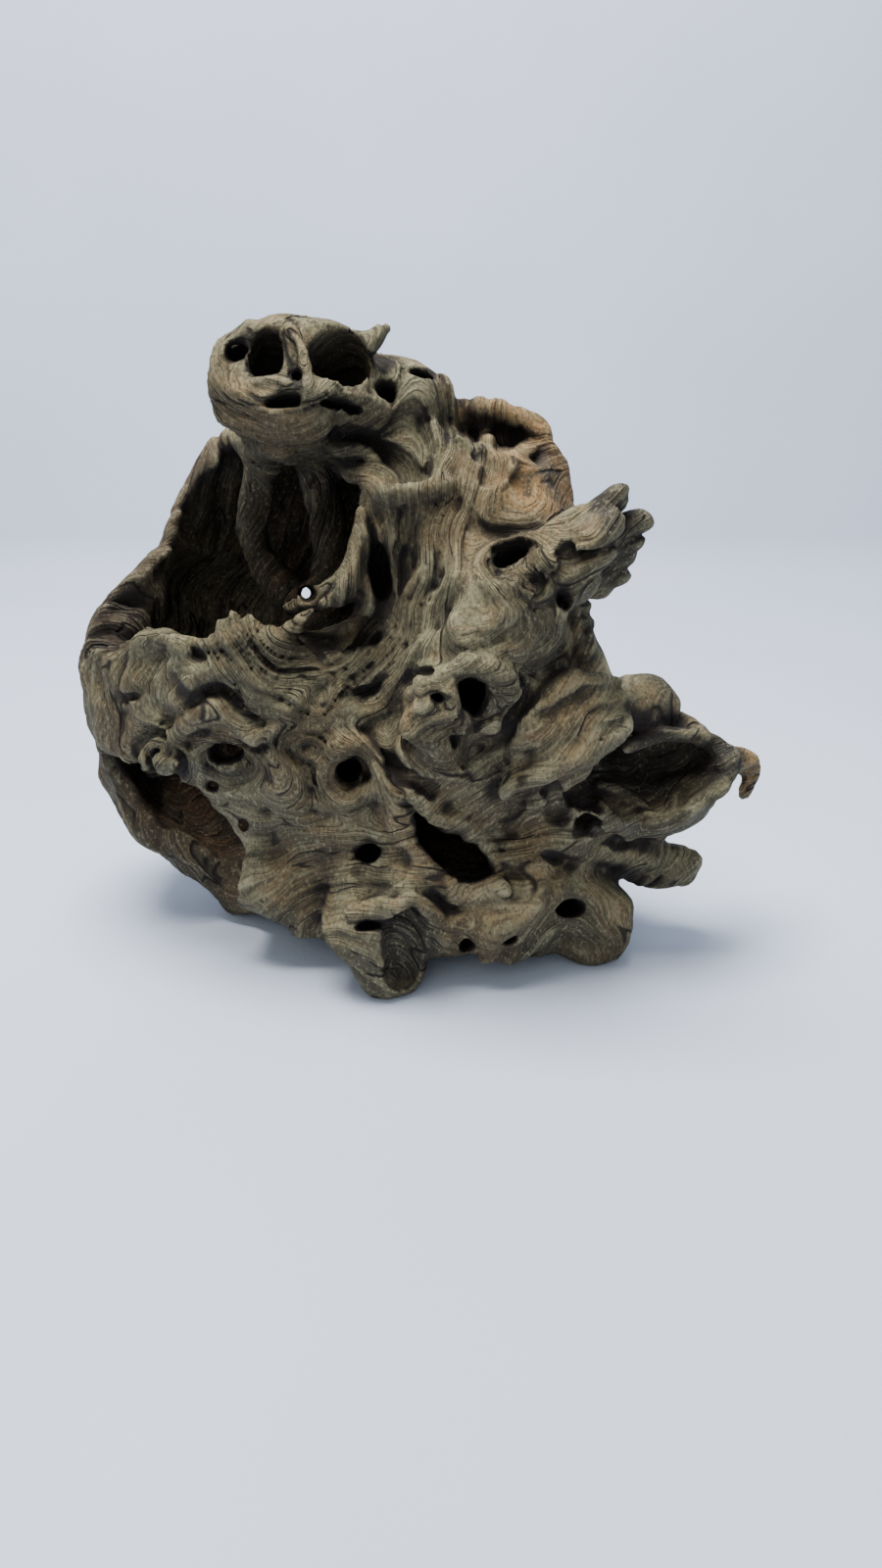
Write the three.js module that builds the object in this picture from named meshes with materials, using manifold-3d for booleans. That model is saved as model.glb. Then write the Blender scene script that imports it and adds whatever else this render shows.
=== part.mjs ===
// Driftwood: one hollow, weathered piece of root wood that stands on its own low points.
// Units are millimetres, +Z is up and -Y is the front. The wood is a distance field: oval
// bodies and limbs are joined and hollowed one after another, the grain raises long ridges
// on the result, and holes, rims and folds are laid on it. The surface is then traced,
// thinned out and cut level under its feet. Soft waves bend all of it, and every place in
// the lists of bodies is stated as it lies once the waves have bent it.
import * as THREE from 'three';
import { edgeTable, triTable } from 'three/addons/objects/MarchingCubes.js';
import { mergeVertices } from 'three/addons/utils/BufferGeometryUtils.js';
import Module from 'manifold-3d';

// Driving dimensions
const REACH_LOW = [-172, -92, -14];
const REACH_HIGH = [182, 124, 292];
const CENTRE = [1.41, 16.02];
const GRID = 3.4;
const MAX_TRIANGLES = 10800;
const FLOOR_DEPTH = 60;

// Grid values: the distance of open air, how far past its box a body is worked out, the
// least part of a grid edge on either side of the surface, and the smallest value kept
const OPEN_AIR = 60;
const BOX_MARGIN = 8;
const EDGE_PART = 0.04;
const TINY = 1e-4;

// Thinning: the pull towards short edges, the least turn of a face, its least shape, and
// the least solvable size of a cost
const LENGTH_COST = 0.002;
const MIN_TURN = 0.2;
const MIN_SHAPE = 0.05;
const MIN_SOLVABLE = 1e-3;
const MIN_AREA = 1e-9;

// Waves that bend every body a little: [height, length, seed]
const WAVES = [[5.0, 38, 1], [2.4, 14, 11]];

// Grain: the waves of its lines, and how far its ridges rise and its troughs sink
const GRAIN_WAVES = [[6.0, 34, 21], [1.6, 12, 22]];
const RIDGES = [
  { height: 3.2, spacing: 19.0, stretch: 0.7, seed: 35 },
  { height: 3.2, spacing: 9.0, stretch: 0.8, seed: 31 },
];
const RIDGE_BASE = -3.9;
const RIDGE_FLOOR = -2.3;
const ALONG_GRAIN = [46, 60, 46];
const GRAIN_SLANT = 0.7;
const SKIN = 9;

const WOOD_COLOUR = 0x8d7f68;

// Small vector and blending helpers
const clamp = (value, low, high) => Math.min(Math.max(value, low), high);

function softMin(a, b, blend) {
  if (blend <= 0) {
    return Math.min(a, b);
  }
  const h = Math.max(blend - Math.abs(a - b), 0) / blend;
  return Math.min(a, b) - h * h * blend * 0.25;
}

const softMax = (a, b, blend) => -softMin(-a, -b, blend);

// Bodies: each has a box [low, high] and a distance that is negative inside it
function oval(centre, half, { tilt = 0, lean = 0, turn = 0 } = {}) {
  const toRadians = THREE.MathUtils.degToRad;
  const spin = new THREE.Matrix4().makeRotationFromEuler(
    new THREE.Euler(toRadians(lean), toRadians(tilt), toRadians(turn), 'ZYX'));
  const m = spin.elements;
  const reach = [0, 1, 2].map((row) =>
    Math.hypot(m[row] * half[0], m[row + 4] * half[1], m[row + 8] * half[2]));
  return {
    low: centre.map((c, i) => c - reach[i]),
    high: centre.map((c, i) => c + reach[i]),
    distance(x, y, z) {
      const dx = x - centre[0];
      const dy = y - centre[1];
      const dz = z - centre[2];
      const a = (dx * m[0] + dy * m[1] + dz * m[2]) / half[0];
      const b = (dx * m[4] + dy * m[5] + dz * m[6]) / half[1];
      const c = (dx * m[8] + dy * m[9] + dz * m[10]) / half[2];
      const size = Math.hypot(a, b, c) + TINY;
      const slope = Math.hypot(a / half[0], b / half[1], c / half[2]) + TINY;
      return size * (size - 1) / slope;
    },
  };
}

// A limb is a round bar along a smooth line of [x, y, z, radius] points. A deep one is
// stretched inward, along the line of sight from above the front.
const INWARD = new THREE.Vector3(0, 0.93, -0.37).normalize().toArray();
const STEPS_PER_SPAN = 4;
const STEPS_OF_SHORT_LINE = 6;

function smoothLine(points) {
  const spans = points.length < 3 ? STEPS_OF_SHORT_LINE : STEPS_PER_SPAN;
  const at = (i) => {
    if (i < 0) {
      return points[0].map((v, n) => 2 * v - points[1][n]);
    }
    if (i >= points.length) {
      return points.at(-1).map((v, n) => 2 * v - points.at(-2)[n]);
    }
    return points[i];
  };
  const line = [];
  for (let i = 0; i < points.length - 1; i += 1) {
    const [p0, p1, p2, p3] = [at(i - 1), at(i), at(i + 1), at(i + 2)];
    for (let s = 0; s < spans; s += 1) {
      const t = s / spans;
      line.push(p1.map((v, n) => 0.5 * (2 * v + (p2[n] - p0[n]) * t
        + (2 * p0[n] - 5 * v + 4 * p2[n] - p3[n]) * t * t
        + (3 * v - p0[n] - 3 * p2[n] + p3[n]) * t * t * t)));
    }
  }
  line.push(points.at(-1));
  return line;
}

function limb(points, deep = 1) {
  const line = smoothLine(points);
  const low = [0, 1, 2].map((i) => Math.min(...line.map((p) => p[i] - p[3] * deep)));
  const high = [0, 1, 2].map((i) => Math.max(...line.map((p) => p[i] + p[3] * deep)));
  const squeeze = 1 / deep - 1;
  return {
    low,
    high,
    distance(x, y, z) {
      let best = Infinity;
      for (let i = 1; i < line.length; i += 1) {
        const a = line[i - 1];
        const b = line[i];
        const bx = b[0] - a[0];
        const by = b[1] - a[1];
        const bz = b[2] - a[2];
        const px = x - a[0];
        const py = y - a[1];
        const pz = z - a[2];
        const length = bx * bx + by * by + bz * bz + TINY;
        const t = clamp((px * bx + py * by + pz * bz) / length, 0, 1);
        let dx = px - bx * t;
        let dy = py - by * t;
        let dz = pz - bz * t;
        if (deep > 1) {
          const inward = (dx * INWARD[0] + dy * INWARD[1] + dz * INWARD[2]) * squeeze;
          dx += inward * INWARD[0];
          dy += inward * INWARD[1];
          dz += inward * INWARD[2];
        }
        best = Math.min(best, Math.hypot(dx, dy, dz) - a[3] - (b[3] - a[3]) * t);
      }
      return best;
    },
  };
}

// A slice is what lies in front of a plane, within one oval
function slice(normal, offset, body) {
  const n = new THREE.Vector3(...normal).normalize();
  return {
    low: body.low,
    high: body.high,
    distance: (x, y, z) => Math.max(offset - x * n.x - y * n.y - z * n.z, body.distance(x, y, z)),
  };
}

const add = (name, blend, body) => ({ name, blend, body, sign: 1 });
const cut = (name, blend, body) => ({ name, blend, body, sign: -1 });

// The trunk: hollow oval bodies, with the two windows that the front shows
const TRUNK = [
  add('left shell', 0, oval([-91, 34, 98], [65, 60, 84], { tilt: -4 })),
  add('left shell upper', 14, oval([-56, 38, 172], [62, 50, 60])),
  add('hub', 20, oval([20, 6, 107], [54, 62, 84], { tilt: 12 })),
  add('neck', 18, oval([8, 10, 181], [44, 42, 56], { tilt: -10 })),
  add('shoulder', 14, oval([34, 4, 190], [34, 38, 38], { tilt: 20 })),
  add('belly', 14, oval([29, 0, 34], [50, 54, 32], { tilt: 4 })),
  add('right side', 14, oval([60, -2, 82], [36, 40, 42])),
  add('low left', 14, oval([-50, 10, 40], [46, 54, 32], { tilt: 10 })),
  cut('window plane', 4, slice([-0.51, -0.57, 0.65], 165,
    oval([-100, 0, 204], [90, 110, 110]))),
  cut('left hollow', 3, oval([-89, 31, 104], [55.5, 51, 74.5], { tilt: -4 })),
  cut('upper hollow', 3, oval([-58, 27, 172], [52, 44, 51])),
  cut('window mouth', 4, limb([[-66, -10, 190, 28], [-47, -6, 196, 28], [-41, 7, 186, 22]])),
  cut('window mouth left', 4, limb([[-72, -18, 173, 24], [-98, -10, 162, 22], [-118, 4, 152, 18]])),
  cut('window side', 4, slice([0.08, -0.99, 0.13], -11,
    oval([-106, 10, 191], [24, 40, 66], { tilt: 33 }))),
  cut('low window side', 4, slice([0.16, -0.97, 0.17], -21,
    oval([-114, 5, 49], [18, 40, 50], { tilt: -43 }))),
  cut('hub hollow', 5, oval([24, 14, 70], [36, 42, 58], { tilt: 8 })),
  cut('hub tunnel', 5, limb([[-43, 37, 129, 24], [-5, 34, 105, 24], [28, 16, 66, 23]])),
  cut('low window', 4, limb([[-118, -26, 72, 15], [-103, -29, 62, 17], [-91, -25, 48, 13]])),
  cut('low window b', 4, limb([[-130, -12, 74, 10], [-112, -16, 66, 18], [-90, -16, 41, 18]])),
];

// The crown, the window's edge, the branch, the knuckle, the scoop and the feet
const LIMBS = [
  add('crown neck', 9, limb([[6, 10, 207, 24], [-4, 11, 230, 19], [-24, 4, 242, 19]])),
  add('crown', 8, oval([-48, 2, 248], [38.5, 30, 24], { tilt: 8, lean: -28 })),
  add('crown shoulder', 6, oval([-4, 11, 246], [18, 20, 12], { tilt: 14 })),
  add('strand', 5, limb([
    [-10, -7, 224, 9], [-16, -14, 204, 8], [-22, -23, 190, 5.5], [-27, -30, 178, 6],
    [-40, -36, 167, 5.5], [-50, -35, 160, 5], [-56, -34, 152, 5]])),
  add('strand fork', 4, limb([
    [-22, -19, 194, 5], [-31, -24, 178, 5], [-42, -18, 168, 5], [-55, -11, 162, 4]])),
  add('branch', 16, limb([
    [12, -52, 136, 17], [28, -46, 156, 16], [50, -44, 173, 14], [68, -37, 188, 12],
    [78, -34, 194, 9]])),
  add('knuckle', 8, oval([66, -34, 118], [23, 20, 18], { tilt: -12 })),
  add('knuckle fold 1', 2, limb([[43, -47, 124, 9], [62, -45, 134, 8], [80, -39, 132, 6]])),
  add('knuckle fold 2', 2, limb([[43, -52, 115, 8], [62, -48, 124, 7], [85, -38, 125, 5.5]])),
  add('knuckle fold 3', 2, limb([[43, -52, 102, 9], [60, -50, 114, 8], [85, -38, 118, 5.5]])),
  add('knuckle fold 4', 2, limb([[51, -44, 94, 9], [66, -43, 106, 7], [80, -34, 112, 5]])),
  add('splinter', 1, limb([[82, -34, 111, 2.4], [92, -33, 111, 2.6], [103, -32, 110, 1.2]])),
  add('dark neck', 6, limb([[61, -16, 167, 9], [62, -16, 148, 9.5], [69, -20, 131, 9.5]])),
  add('scoop', 9, limb([
    [78, -14, 86, 25], [106, -12, 90, 21], [124, -10, 91, 16], [137, -9, 90, 8]])),
  add('scoop belly', 8, oval([105, -10, 76], [27, 25, 18], { tilt: -22 })),
  add('scoop lid', 5, oval([102, -5, 114], [13, 15, 9], { tilt: 20 })),
  cut('scoop hollow', 3, limb([
    [80, -32, 93, 15], [96, -32, 95, 18.5], [116, -27, 94, 13.5], [127, -22, 94, 7]])),
  cut('scoop dark', 3, limb([[86, -14, 96, 9], [104, -14, 94, 9.5], [122, -14, 94, 7]])),
  add('fragment', 3, limb([
    [138, 3, 90, 5], [147, 11, 80, 6], [153, 14, 73, 4.5], [150, 12, 65, 3]])),
  add('plate', 6, oval([108, 0, 38], [25, 10, 12], { tilt: 10 })),
  add('plate root', 9, limb([[75, -8, 55, 16], [102, -2, 42, 12]])),
  add('right foot', 9, limb([
    [63, -22, 37, 20], [84, -23, 24, 16], [82, -22, 13, 14], [76, -24, 10, 12]])),
  add('front foot', 8, limb([[-12, -41, 48, 21], [-16, -51, 30, 21], [-16, -51, 16, 18.5]])),
  add('bottom rim', 8, limb([[7, -38, 28, 14], [54, -32, 16, 14]])),
  add('top ridge', 7, limb([
    [2, 10, 248, 6], [18, 12, 242, 6], [38, 14, 234, 5], [54, 14, 224, 5], [60, 8, 212, 5],
    [64, -2, 202, 5]])),
  add('bridge back', 4, limb([[-48, -12, 146, 8], [-34, -11, 148, 9], [-15, -15, 149, 8]])),
  add('low shell rim', 6, limb([
    [-148, 22, 81, 5], [-148, 27, 66, 5], [-143, 28, 49, 5], [-128, 28, 35, 5], [-108, 20, 20, 5],
    [-77, 10, 8, 6], [-48, 2, 14, 8]])),
  add('left bulge', 8, limb([
    [-122, 34, 160, 5], [-130, 24, 142, 7], [-140, 12, 120, 8], [-141, 9, 96, 6]])),
  add('front plate', 6, oval([-65, -30, 124], [34, 9, 36], { turn: -14 })),
  add('front plate left', 6, oval([-110, -13, 117], [36, 9, 34], { turn: -34 })),
  add('front plate low', 6, oval([-58, -25, 82], [30, 10, 34], { turn: -10 })),
  add('bridge', 10, oval([-30, -30, 120], [30, 13, 26], { tilt: -40 })),
  add('bridge low', 10, oval([-28, -33, 84], [34, 12, 36])),
  add('branch root', 16, oval([23, -35, 160], [26, 14, 22], { tilt: -40 })),
  add('knuckle root', 9, limb([[64, -10, 124, 20], [80, -6, 104, 18], [96, -5, 92, 17]])),
  add('left front edge', 4, limb([
    [-56, -34, 152, 4], [-63, -34, 153, 3.5], [-86, -29, 148, 3.5], [-106, -20, 146, 3.5],
    [-120, -11, 142, 3.5], [-134, 4, 133, 3.5], [-143, 15, 131, 4]])),
  add('back root', 14, limb([
    [48, 60, 8, 17], [34, 60, 44, 19], [4, 66, 90, 17], [-26, 76, 140, 13], [-44, 74, 190, 10]])),
  add('back root right', 14, limb([
    [92, 12, 50, 14], [60, 34, 80, 15], [36, 42, 130, 14], [32, 32, 176, 13], [20, 26, 214, 12]])),
  add('back ridge', 10, limb([
    [-126, 62, 50, 9], [-118, 84, 96, 9], [-98, 92, 140, 8], [-74, 84, 188, 8], [-50, 66, 222, 8]])),
  add('back ridge low', 10, limb([[-60, 80, 30, 9], [-92, 92, 64, 8], [-130, 74, 104, 7]])),
  add('back strut', 10, limb([[-60, 62, 20, 14], [-20, 64, 24, 14], [24, 58, 14, 14]])),
  cut('back opening', 5, oval([14, 50, 116], [15, 26, 22], { tilt: 25 })),
  cut('back opening low', 5, oval([-10, 72, 46], [12, 20, 9], { tilt: -20 })),
  add('left foot', 10, oval([-79, 26, 6], [20, 17, 13])),
  add('back knot', 4, limb([
    [-67, 92, 70, 6], [-74, 92, 82, 6], [-88, 92, 84, 6], [-100, 92, 76, 6], [-100, 92, 64, 6],
    [-88, 92, 56, 6], [-74, 92, 58, 6], [-67, 92, 70, 6]])),
  cut('back knot hole', 3, oval([-84, 96, 70], [8, 20, 7])),
];

// What is laid on the ridged surface: hollows, rims, lips, folds and cracks
const DETAILS = [
  cut('crown cut', 3, slice([-0.12, -0.80, 0.59], 170.7,
    oval([-41, -18, 252], [46, 34, 30]))),
  add('crown spur', 3, limb([[-20, -4, 264, 5], [-14, -2, 268, 3.4], [-11, 1, 271, 2.2]])),
  add('crown rim', 3, limb([
    [-68, -1, 272, 4], [-78, -6, 264, 4], [-80, -10, 252, 4], [-78, -8, 242, 4]])),
  add('crown brow', 3, limb([
    [-63, -3, 270, 3], [-50, -4, 272, 3], [-32, -4, 268, 3], [-21, 0, 264, 3]])),
  cut('crown hollow left', 2, oval([-60, -4, 260], [7.4, 20, 9.8], { lean: -24 })),
  cut('crown hollow right', 2, oval([-30, -8, 258], [13.7, 26, 10.8], { lean: -24 })),
  add('crown wall', 2, limb([[-50, -8, 270, 2.6], [-46, -14, 264, 2.6], [-44, -19, 258, 2.6]])),
  add('crown wall left', 2, limb([
    [-44, -18, 258, 2.2], [-48, -20, 255, 2.2], [-52, -22, 253, 2.2]])),
  add('crown wall right', 2, limb([
    [-44, -18, 258, 2.2], [-42, -22, 254, 2.2], [-41, -24, 250, 2.2]])),
  cut('crown pit left', 2, oval([-72, -4, 264], [4.1, 14, 3.7], { lean: -24 })),
  cut('crown pit low', 2, oval([-47, -16, 253], [2.4, 14, 2.4], { lean: -24 })),
  add('crown ledge', 2, limb([
    [-64, -16, 254, 2.8], [-55, -18, 254, 2.8], [-42, -23, 248, 2.8], [-30, -21, 246, 2.8],
    [-18, -16, 246, 2.8], [-11, -12, 242, 2.8]])),
  cut('crown slot', 2, oval([-52, -18, 244], [8.4, 14, 3.2], { lean: -24 })),
  cut('crown slot right', 2, oval([-30, -16, 242], [9.7, 10, 2], { tilt: 6, lean: -24 })),
  cut('crown pit right', 2, oval([-10, -5, 248], [4.5, 18, 4.9], { lean: -24 })),
  cut('crown pit far', 2, oval([4, 4, 253], [3.7, 14, 2.5], { lean: -24 })),
  add('crown lip', 3, limb([
    [-76, -10, 240, 4.5], [-64, -13, 236, 4.5], [-50, -18, 235, 4.5], [-36, -19, 236, 4.5]])),
  add('crown lip low', 3, limb([
    [-75, 34, 222, 5], [-56, -10, 228, 5], [-44, 52, 210, 5], [-24, -5, 218, 5],
    [-12, -23, 208, 5], [0, -28, 209, 5], [10, -27, 212, 5]])),
  cut('crown recess', 2, limb([
    [-31, -13, 230, 6], [-18, -13, 229, 6], [-8, -18, 224, 6], [-2, -22, 218, 6]])),
  add('recess lip upper', 2, limb([
    [-33, -8, 226, 3.5], [-20, -12, 226, 3.5], [-13, -16, 218, 3.5], [-8, -19, 211, 3.5]])),
  add('shoulder fold', 3, limb([[8, -6, 235, 4], [8, -15, 224, 4], [12, -25, 213, 4]])),
  add('amber crest', 3, limb([
    [27, 10, 244, 4], [36, 10, 242, 4], [46, 10, 237, 4], [55, 9, 230, 4]])),
  cut('amber undercut', 2, limb([[38, 9, 233, 4.5], [48, 8, 230, 4.5], [53, -4, 224, 4.5]])),
  add('amber flap', 3, limb([[56, 9, 227, 4], [62, 6, 218, 4], [62, 2, 210, 4]])),
  add('amber ridge', 2, limb([[52, 10, 229, 3.4], [40, -18, 219, 3.4], [34, -26, 212, 3.4]])),
  add('amber ridge b', 2, limb([[19, -8, 230, 3.4], [27, 19, 230, 3.4], [34, 4, 230, 3.4]])),
  cut('amber hollow', 2, limb([[28, -14, 226, 5], [32, -20, 221, 5], [30, -26, 215, 5]])),
  cut('shoulder crack', 2, limb([
    [18, -30, 204, 2.4], [26, -35, 196, 2.4], [36, -36, 192, 2.4], [52, -34, 196, 2.4]])),
  cut('recess tall', 2, oval([-14, -22, 177], [5.2, 14, 12.9], { lean: -24 })),
  add('strand edge', 3, limb([
    [-20, -22, 201, 3.4], [-24, -28, 190, 3.4], [-28, -35, 180, 3.4], [-32, -36, 175, 3.4]])),
  add('strand heel', 3, limb([[-26, -25, 182, 4.5], [-22, -28, 174, 4], [-20, -30, 164, 3.6]])),
  cut('recess low', 2, oval([-36, -36, 162], [10.5, 8, 6.5], { tilt: -14, lean: -24 })),
  add('finger 1', 1.5, limb([[59, -38, 193, 7.2], [69, -40, 203, 6.8], [78, -39, 210, 6.4]])),
  add('finger 2', 1.5, limb([[58, -47, 186, 7], [66, -48, 196, 6.6], [76, -47, 203, 6.2]])),
  add('finger 3', 1.5, limb([[75, -32, 196, 6.2], [82, -36, 198, 5.8], [88, -35, 200, 5.4]])),
  add('finger 4', 1.5, limb([[71, -30, 188, 6.2], [78, -32, 192, 5.8], [86, -32, 193, 5.4]])),
  add('finger 5', 1.5, limb([[70, -28, 184, 6.2], [77, -29, 186, 5.8], [84, -28, 186, 5.4]])),
  add('finger 6', 1.5, limb([[67, -28, 176, 6], [74, -28, 178, 5.6], [82, -28, 177, 5.2]])),
  add('finger 7', 1.5, limb([[62, -46, 178, 6.4], [68, -46, 185, 6], [74, -46, 190, 5.6]])),
  add('finger 8', 1.5, limb([[64, -27, 171, 6.2], [70, -28, 172, 5.8], [76, -28, 172, 5.4]])),
  add('finger 9', 1.5, limb([[60, -42, 170, 6.4], [66, -42, 174, 6], [70, -40, 180, 5.6]])),
  cut('branch furrow', 2, limb([
    [42, -58, 164, 2.2], [51, -58, 175, 2.2], [58, -54, 184, 2.2], [68, -50, 192, 2.2]])),
  cut('branch furrow low', 2, limb([
    [42, -57, 158, 2.2], [53, -57, 170, 2.2], [61, -54, 178, 2.2]])),
  cut('branch furrow high', 2, limb([[48, -56, 179, 2], [58, -53, 188, 2], [70, -47, 197, 2]])),
  add('neck knob 1', 2, limb([[64, -24, 162, 4], [67, -20, 162, 4]])),
  add('neck knob 2', 2, limb([[66, -24, 154, 4], [68, -21, 154, 4]])),
  add('neck knob 3', 2, limb([[65, -26, 148, 4], [68, -24, 148, 4]])),
  add('neck knob 4', 2, limb([[68, -27, 142, 4], [70, -24, 142, 4]])),
  cut('neck furrow', 2, limb([[60, -54, 173, 3.4], [57, -42, 156, 3.4], [56, -39, 145, 3.4]])),
  cut('knuckle crease 1', 2, limb([[65, -52, 134, 2.8], [74, -48, 134, 2.8], [84, -42, 132, 2.8]])),
  cut('knuckle crease 2', 2, limb([[49, -56, 128, 2.8], [60, -54, 132, 2.8], [68, -51, 131, 2.8]])),
  cut('knuckle crease 3', 2, limb([[70, -52, 126, 2.8], [80, -47, 125, 2.8], [88, -42, 125, 2.8]])),
  cut('knuckle crease 4', 2, limb([[75, -52, 120, 2.8], [86, -44, 119, 2.8]])),
  cut('middle hole', 2, oval([24, -54, 136], [8.7, 36, 7.2], { tilt: -10, lean: -24 })),
  cut('middle hole low', 2, oval([25, -54, 128], [3.4, 30, 3.8], { lean: -24 })),
  cut('middle pit', 2, oval([9, -61, 136], [4.2, 16, 3.8], { lean: -24 })),
  add('middle pit rim', 2, limb([
    [2, -64, 141, 3.6], [8, -65, 142, 3.6], [13, -68, 140, 3.6], [13, -68, 134, 3.6],
    [8, -67, 131, 3.6], [3, -66, 134, 3.6]])),
  add('knot lump', 4, limb([[1, -62, 126, 7], [6, -61, 122, 7], [10, -56, 112, 7]])),
  add('knot lump b', 3, limb([[0, -52, 112, 6], [6, -54, 106, 6], [15, -55, 104, 6]])),
  cut('knot pit', 2, oval([0, -55, 122], [1.9, 8, 1.9], { lean: -24 })),
  cut('knot crack', 2, limb([
    [4, -54, 110, 2], [8, -59, 118, 2], [15, -60, 120, 2], [20, -60, 120, 2]])),
  cut('knot crack b', 2, limb([[9, -56, 116, 1.8], [10, -56, 108, 1.8], [15, -56, 106, 1.8]])),
  add('middle brow', 3, limb([
    [9, -64, 145, 5], [20, -64, 152, 5], [32, -62, 149, 5], [33, -58, 138, 5], [29, -58, 125, 5]])),
  cut('crater', 2, oval([-28, -34, 94], [6.5, 28, 6.5], { lean: -24 })),
  add('crater rim', 2, limb([
    [-34, -46, 107, 5.2], [-24, -45, 111, 5.2], [-15, -46, 107, 5.2], [-12, -48, 100, 5.2]])),
  add('crater rim low', 2, limb([
    [-16, -48, 92, 4.4], [-24, -46, 87, 4.4], [-32, -45, 86, 4.4], [-38, -44, 90, 4.4],
    [-38, -46, 100, 4.4]])),
  add('crater knobs', 2, limb([[-30, -44, 86, 4.5], [-36, -44, 82, 4.5], [-41, -42, 79, 4.5]])),
  cut('low hole', 3, limb([
    [-1, -34, 79, 4], [4, -36, 68, 7], [12, -32, 57, 9], [30, -28, 49, 6]], 4.5)),
  cut('low hole right', 3, limb([[11, -34, 64, 6], [21, -33, 60, 7], [32, -28, 49, 6]], 4.5)),
  add('strap', 3, limb([
    [-10, -48, 94, 5.6], [-6, -48, 77, 5.6], [0, -51, 62, 5.6], [8, -51, 50, 5.6],
    [22, -48, 46, 5.6], [35, -48, 50, 5.6]])),
  add('right of strap', 3, limb([
    [45, -36, 60, 7], [52, -37, 52, 7], [50, -45, 42, 7], [40, -50, 36, 7], [30, -51, 30, 7]])),
  add('low hole brow', 3, limb([
    [0, -52, 91, 4.5], [11, -54, 82, 4.5], [20, -54, 82, 4.5], [33, -43, 66, 4.5],
    [38, -40, 56, 4.5]])),
  add('flake', 1, limb([[40, -38, 61, 3], [37, -42, 54, 3], [34, -46, 50, 3]])),
  cut('high hole', 2, oval([42, -40, 183], [7, 18, 4.3], { tilt: -28, lean: -24 })),
  add('high hole lip', 2, limb([
    [32, -44, 184, 4], [30, -50, 179, 4], [32, -54, 175, 4], [38, -56, 176, 4], [45, -53, 181, 4],
    [53, -53, 186, 4]])),
  cut('low dimple', 2, oval([-19, -44, 62], [5.4, 16, 3.7], { tilt: -20, lean: -24 })),
  cut('low valley', 2, limb([[-24, -54, 58, 5], [-15, -60, 58, 5], [-6, -56, 62, 5]])),
  cut('left pit', 2, oval([-77, -30, 106], [7.5, 16, 5.4], { lean: -24 })),
  cut('left pit b', 2, oval([-87, -24, 82], [2.2, 9, 2.6], { lean: -24 })),
  cut('eye', 2, oval([-110, -22, 98], [4.3, 8, 3.9], { lean: -24 })),
  add('eye ball', 1.5, limb([[-108, -26, 96, 4.4], [-108, -26, 94, 4.4]])),
  add('eye rim', 2, limb([
    [-102, -26, 98, 2.4], [-106, -24, 92, 2.4], [-129, 52, 61, 2.4], [-119, -18, 90, 2.4],
    [-118, -20, 98, 2.4], [-112, -23, 104, 2.4], [-105, -26, 103, 2.4], [-102, -26, 98, 2.4]])),
  cut('slot', 2, limb([[54, -50, 96, 2.8], [58, -50, 92, 2.8], [62, -40, 78, 2.8]])),
  cut('side recess', 2, limb([[66, -42, 91, 4.5], [73, -29, 80, 4.5], [72, -41, 75, 4.5]])),
  cut('side slot', 2, limb([[69, -40, 72, 2.8], [74, -39, 73, 2.8], [82, -30, 65, 2.8]])),
  cut('low right pit', 2, oval([70, -38, 34], [8.2, 18, 4.3], { lean: -24 })),
  cut('low pit 1', 2, oval([22, -46, 20], [4.7, 12, 3], { lean: -24 })),
  cut('low pit 2', 2, oval([42, -50, 26], [3.4, 12, 3.4], { lean: -24 })),
  cut('low slot', 2, oval([-20, -66, 37], [4.9, 10, 2.5], { lean: -24 })),
  cut('crack 1', 2, limb([[-46, -44, 108, 3], [-38, -44, 114, 3], [-24, -42, 120, 3]])),
  cut('crack 1b', 2, limb([
    [-28, -44, 129, 3], [-16, -40, 132, 3], [-8, -45, 137, 3], [5, -62, 145, 3]])),
  cut('crack 2', 2, limb([
    [24, -56, 112, 3.2], [35, -54, 120, 3.2], [42, -52, 132, 3.2], [46, -52, 146, 3.2]])),
  cut('crack 3', 2, limb([
    [50, -58, 174, 3], [46, -58, 168, 3], [40, -59, 162, 3], [35, -60, 161, 3], [26, -59, 165, 3]])),
  cut('crack 4', 2, limb([
    [-28, -44, 111, 3], [-16, -44, 108, 3], [-8, -48, 105, 3], [-2, -52, 99, 3], [7, -54, 94, 3]])),
  cut('crack 5', 2, limb([
    [-105, -24, 148, 1.8], [-108, -24, 132, 1.8], [-106, -27, 121, 1.8], [-106, -24, 107, 1.8]])),
  cut('arch 1', 2, limb([
    [-108, -26, 114, 3.8], [-94, -34, 124, 3.8], [-88, -33, 132, 3.8], [-79, -34, 136, 3.8],
    [-66, -38, 132, 3.8], [-58, -41, 122, 3.8], [-54, -42, 112, 3.8]])),
  cut('arch 2', 2, limb([
    [-97, -30, 105, 3.2], [-84, -35, 120, 3.2], [-73, -36, 122, 3.2], [-66, -38, 112, 3.2],
    [-52, -42, 114, 3.2], [-46, -44, 126, 3.2], [-36, -44, 134, 3.2]])),
  cut('arch 3', 2, limb([
    [-134, -9, 120, 2.4], [-118, -20, 126, 2.4], [-106, -28, 128, 2.4], [-98, -30, 136, 2.4]])),
  add('arch ridge', 3, limb([
    [-99, -29, 124, 4.5], [-88, -30, 136, 4.5], [-76, -32, 140, 4.5], [-65, -37, 135, 4.5],
    [-56, -38, 125, 4.5]])),
  add('arch ridge low', 3, limb([
    [-103, -26, 107, 4.5], [-86, -32, 124, 4.5], [-73, -34, 126, 4.5], [-64, -37, 118, 4.5],
    [-54, -40, 116, 4.5], [-48, -41, 129, 4.5]])),
  cut('crack 7', 2, limb([[-100, 50, 38, 2.8], [-72, -29, 66, 2.8], [-62, -34, 70, 2.8]])),
  cut('crack 8', 2, limb([
    [50, -57, 163, 3], [45, -54, 150, 3], [35, -57, 142, 3], [34, -54, 130, 3]])),
  cut('crack 9', 2, limb([
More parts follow.
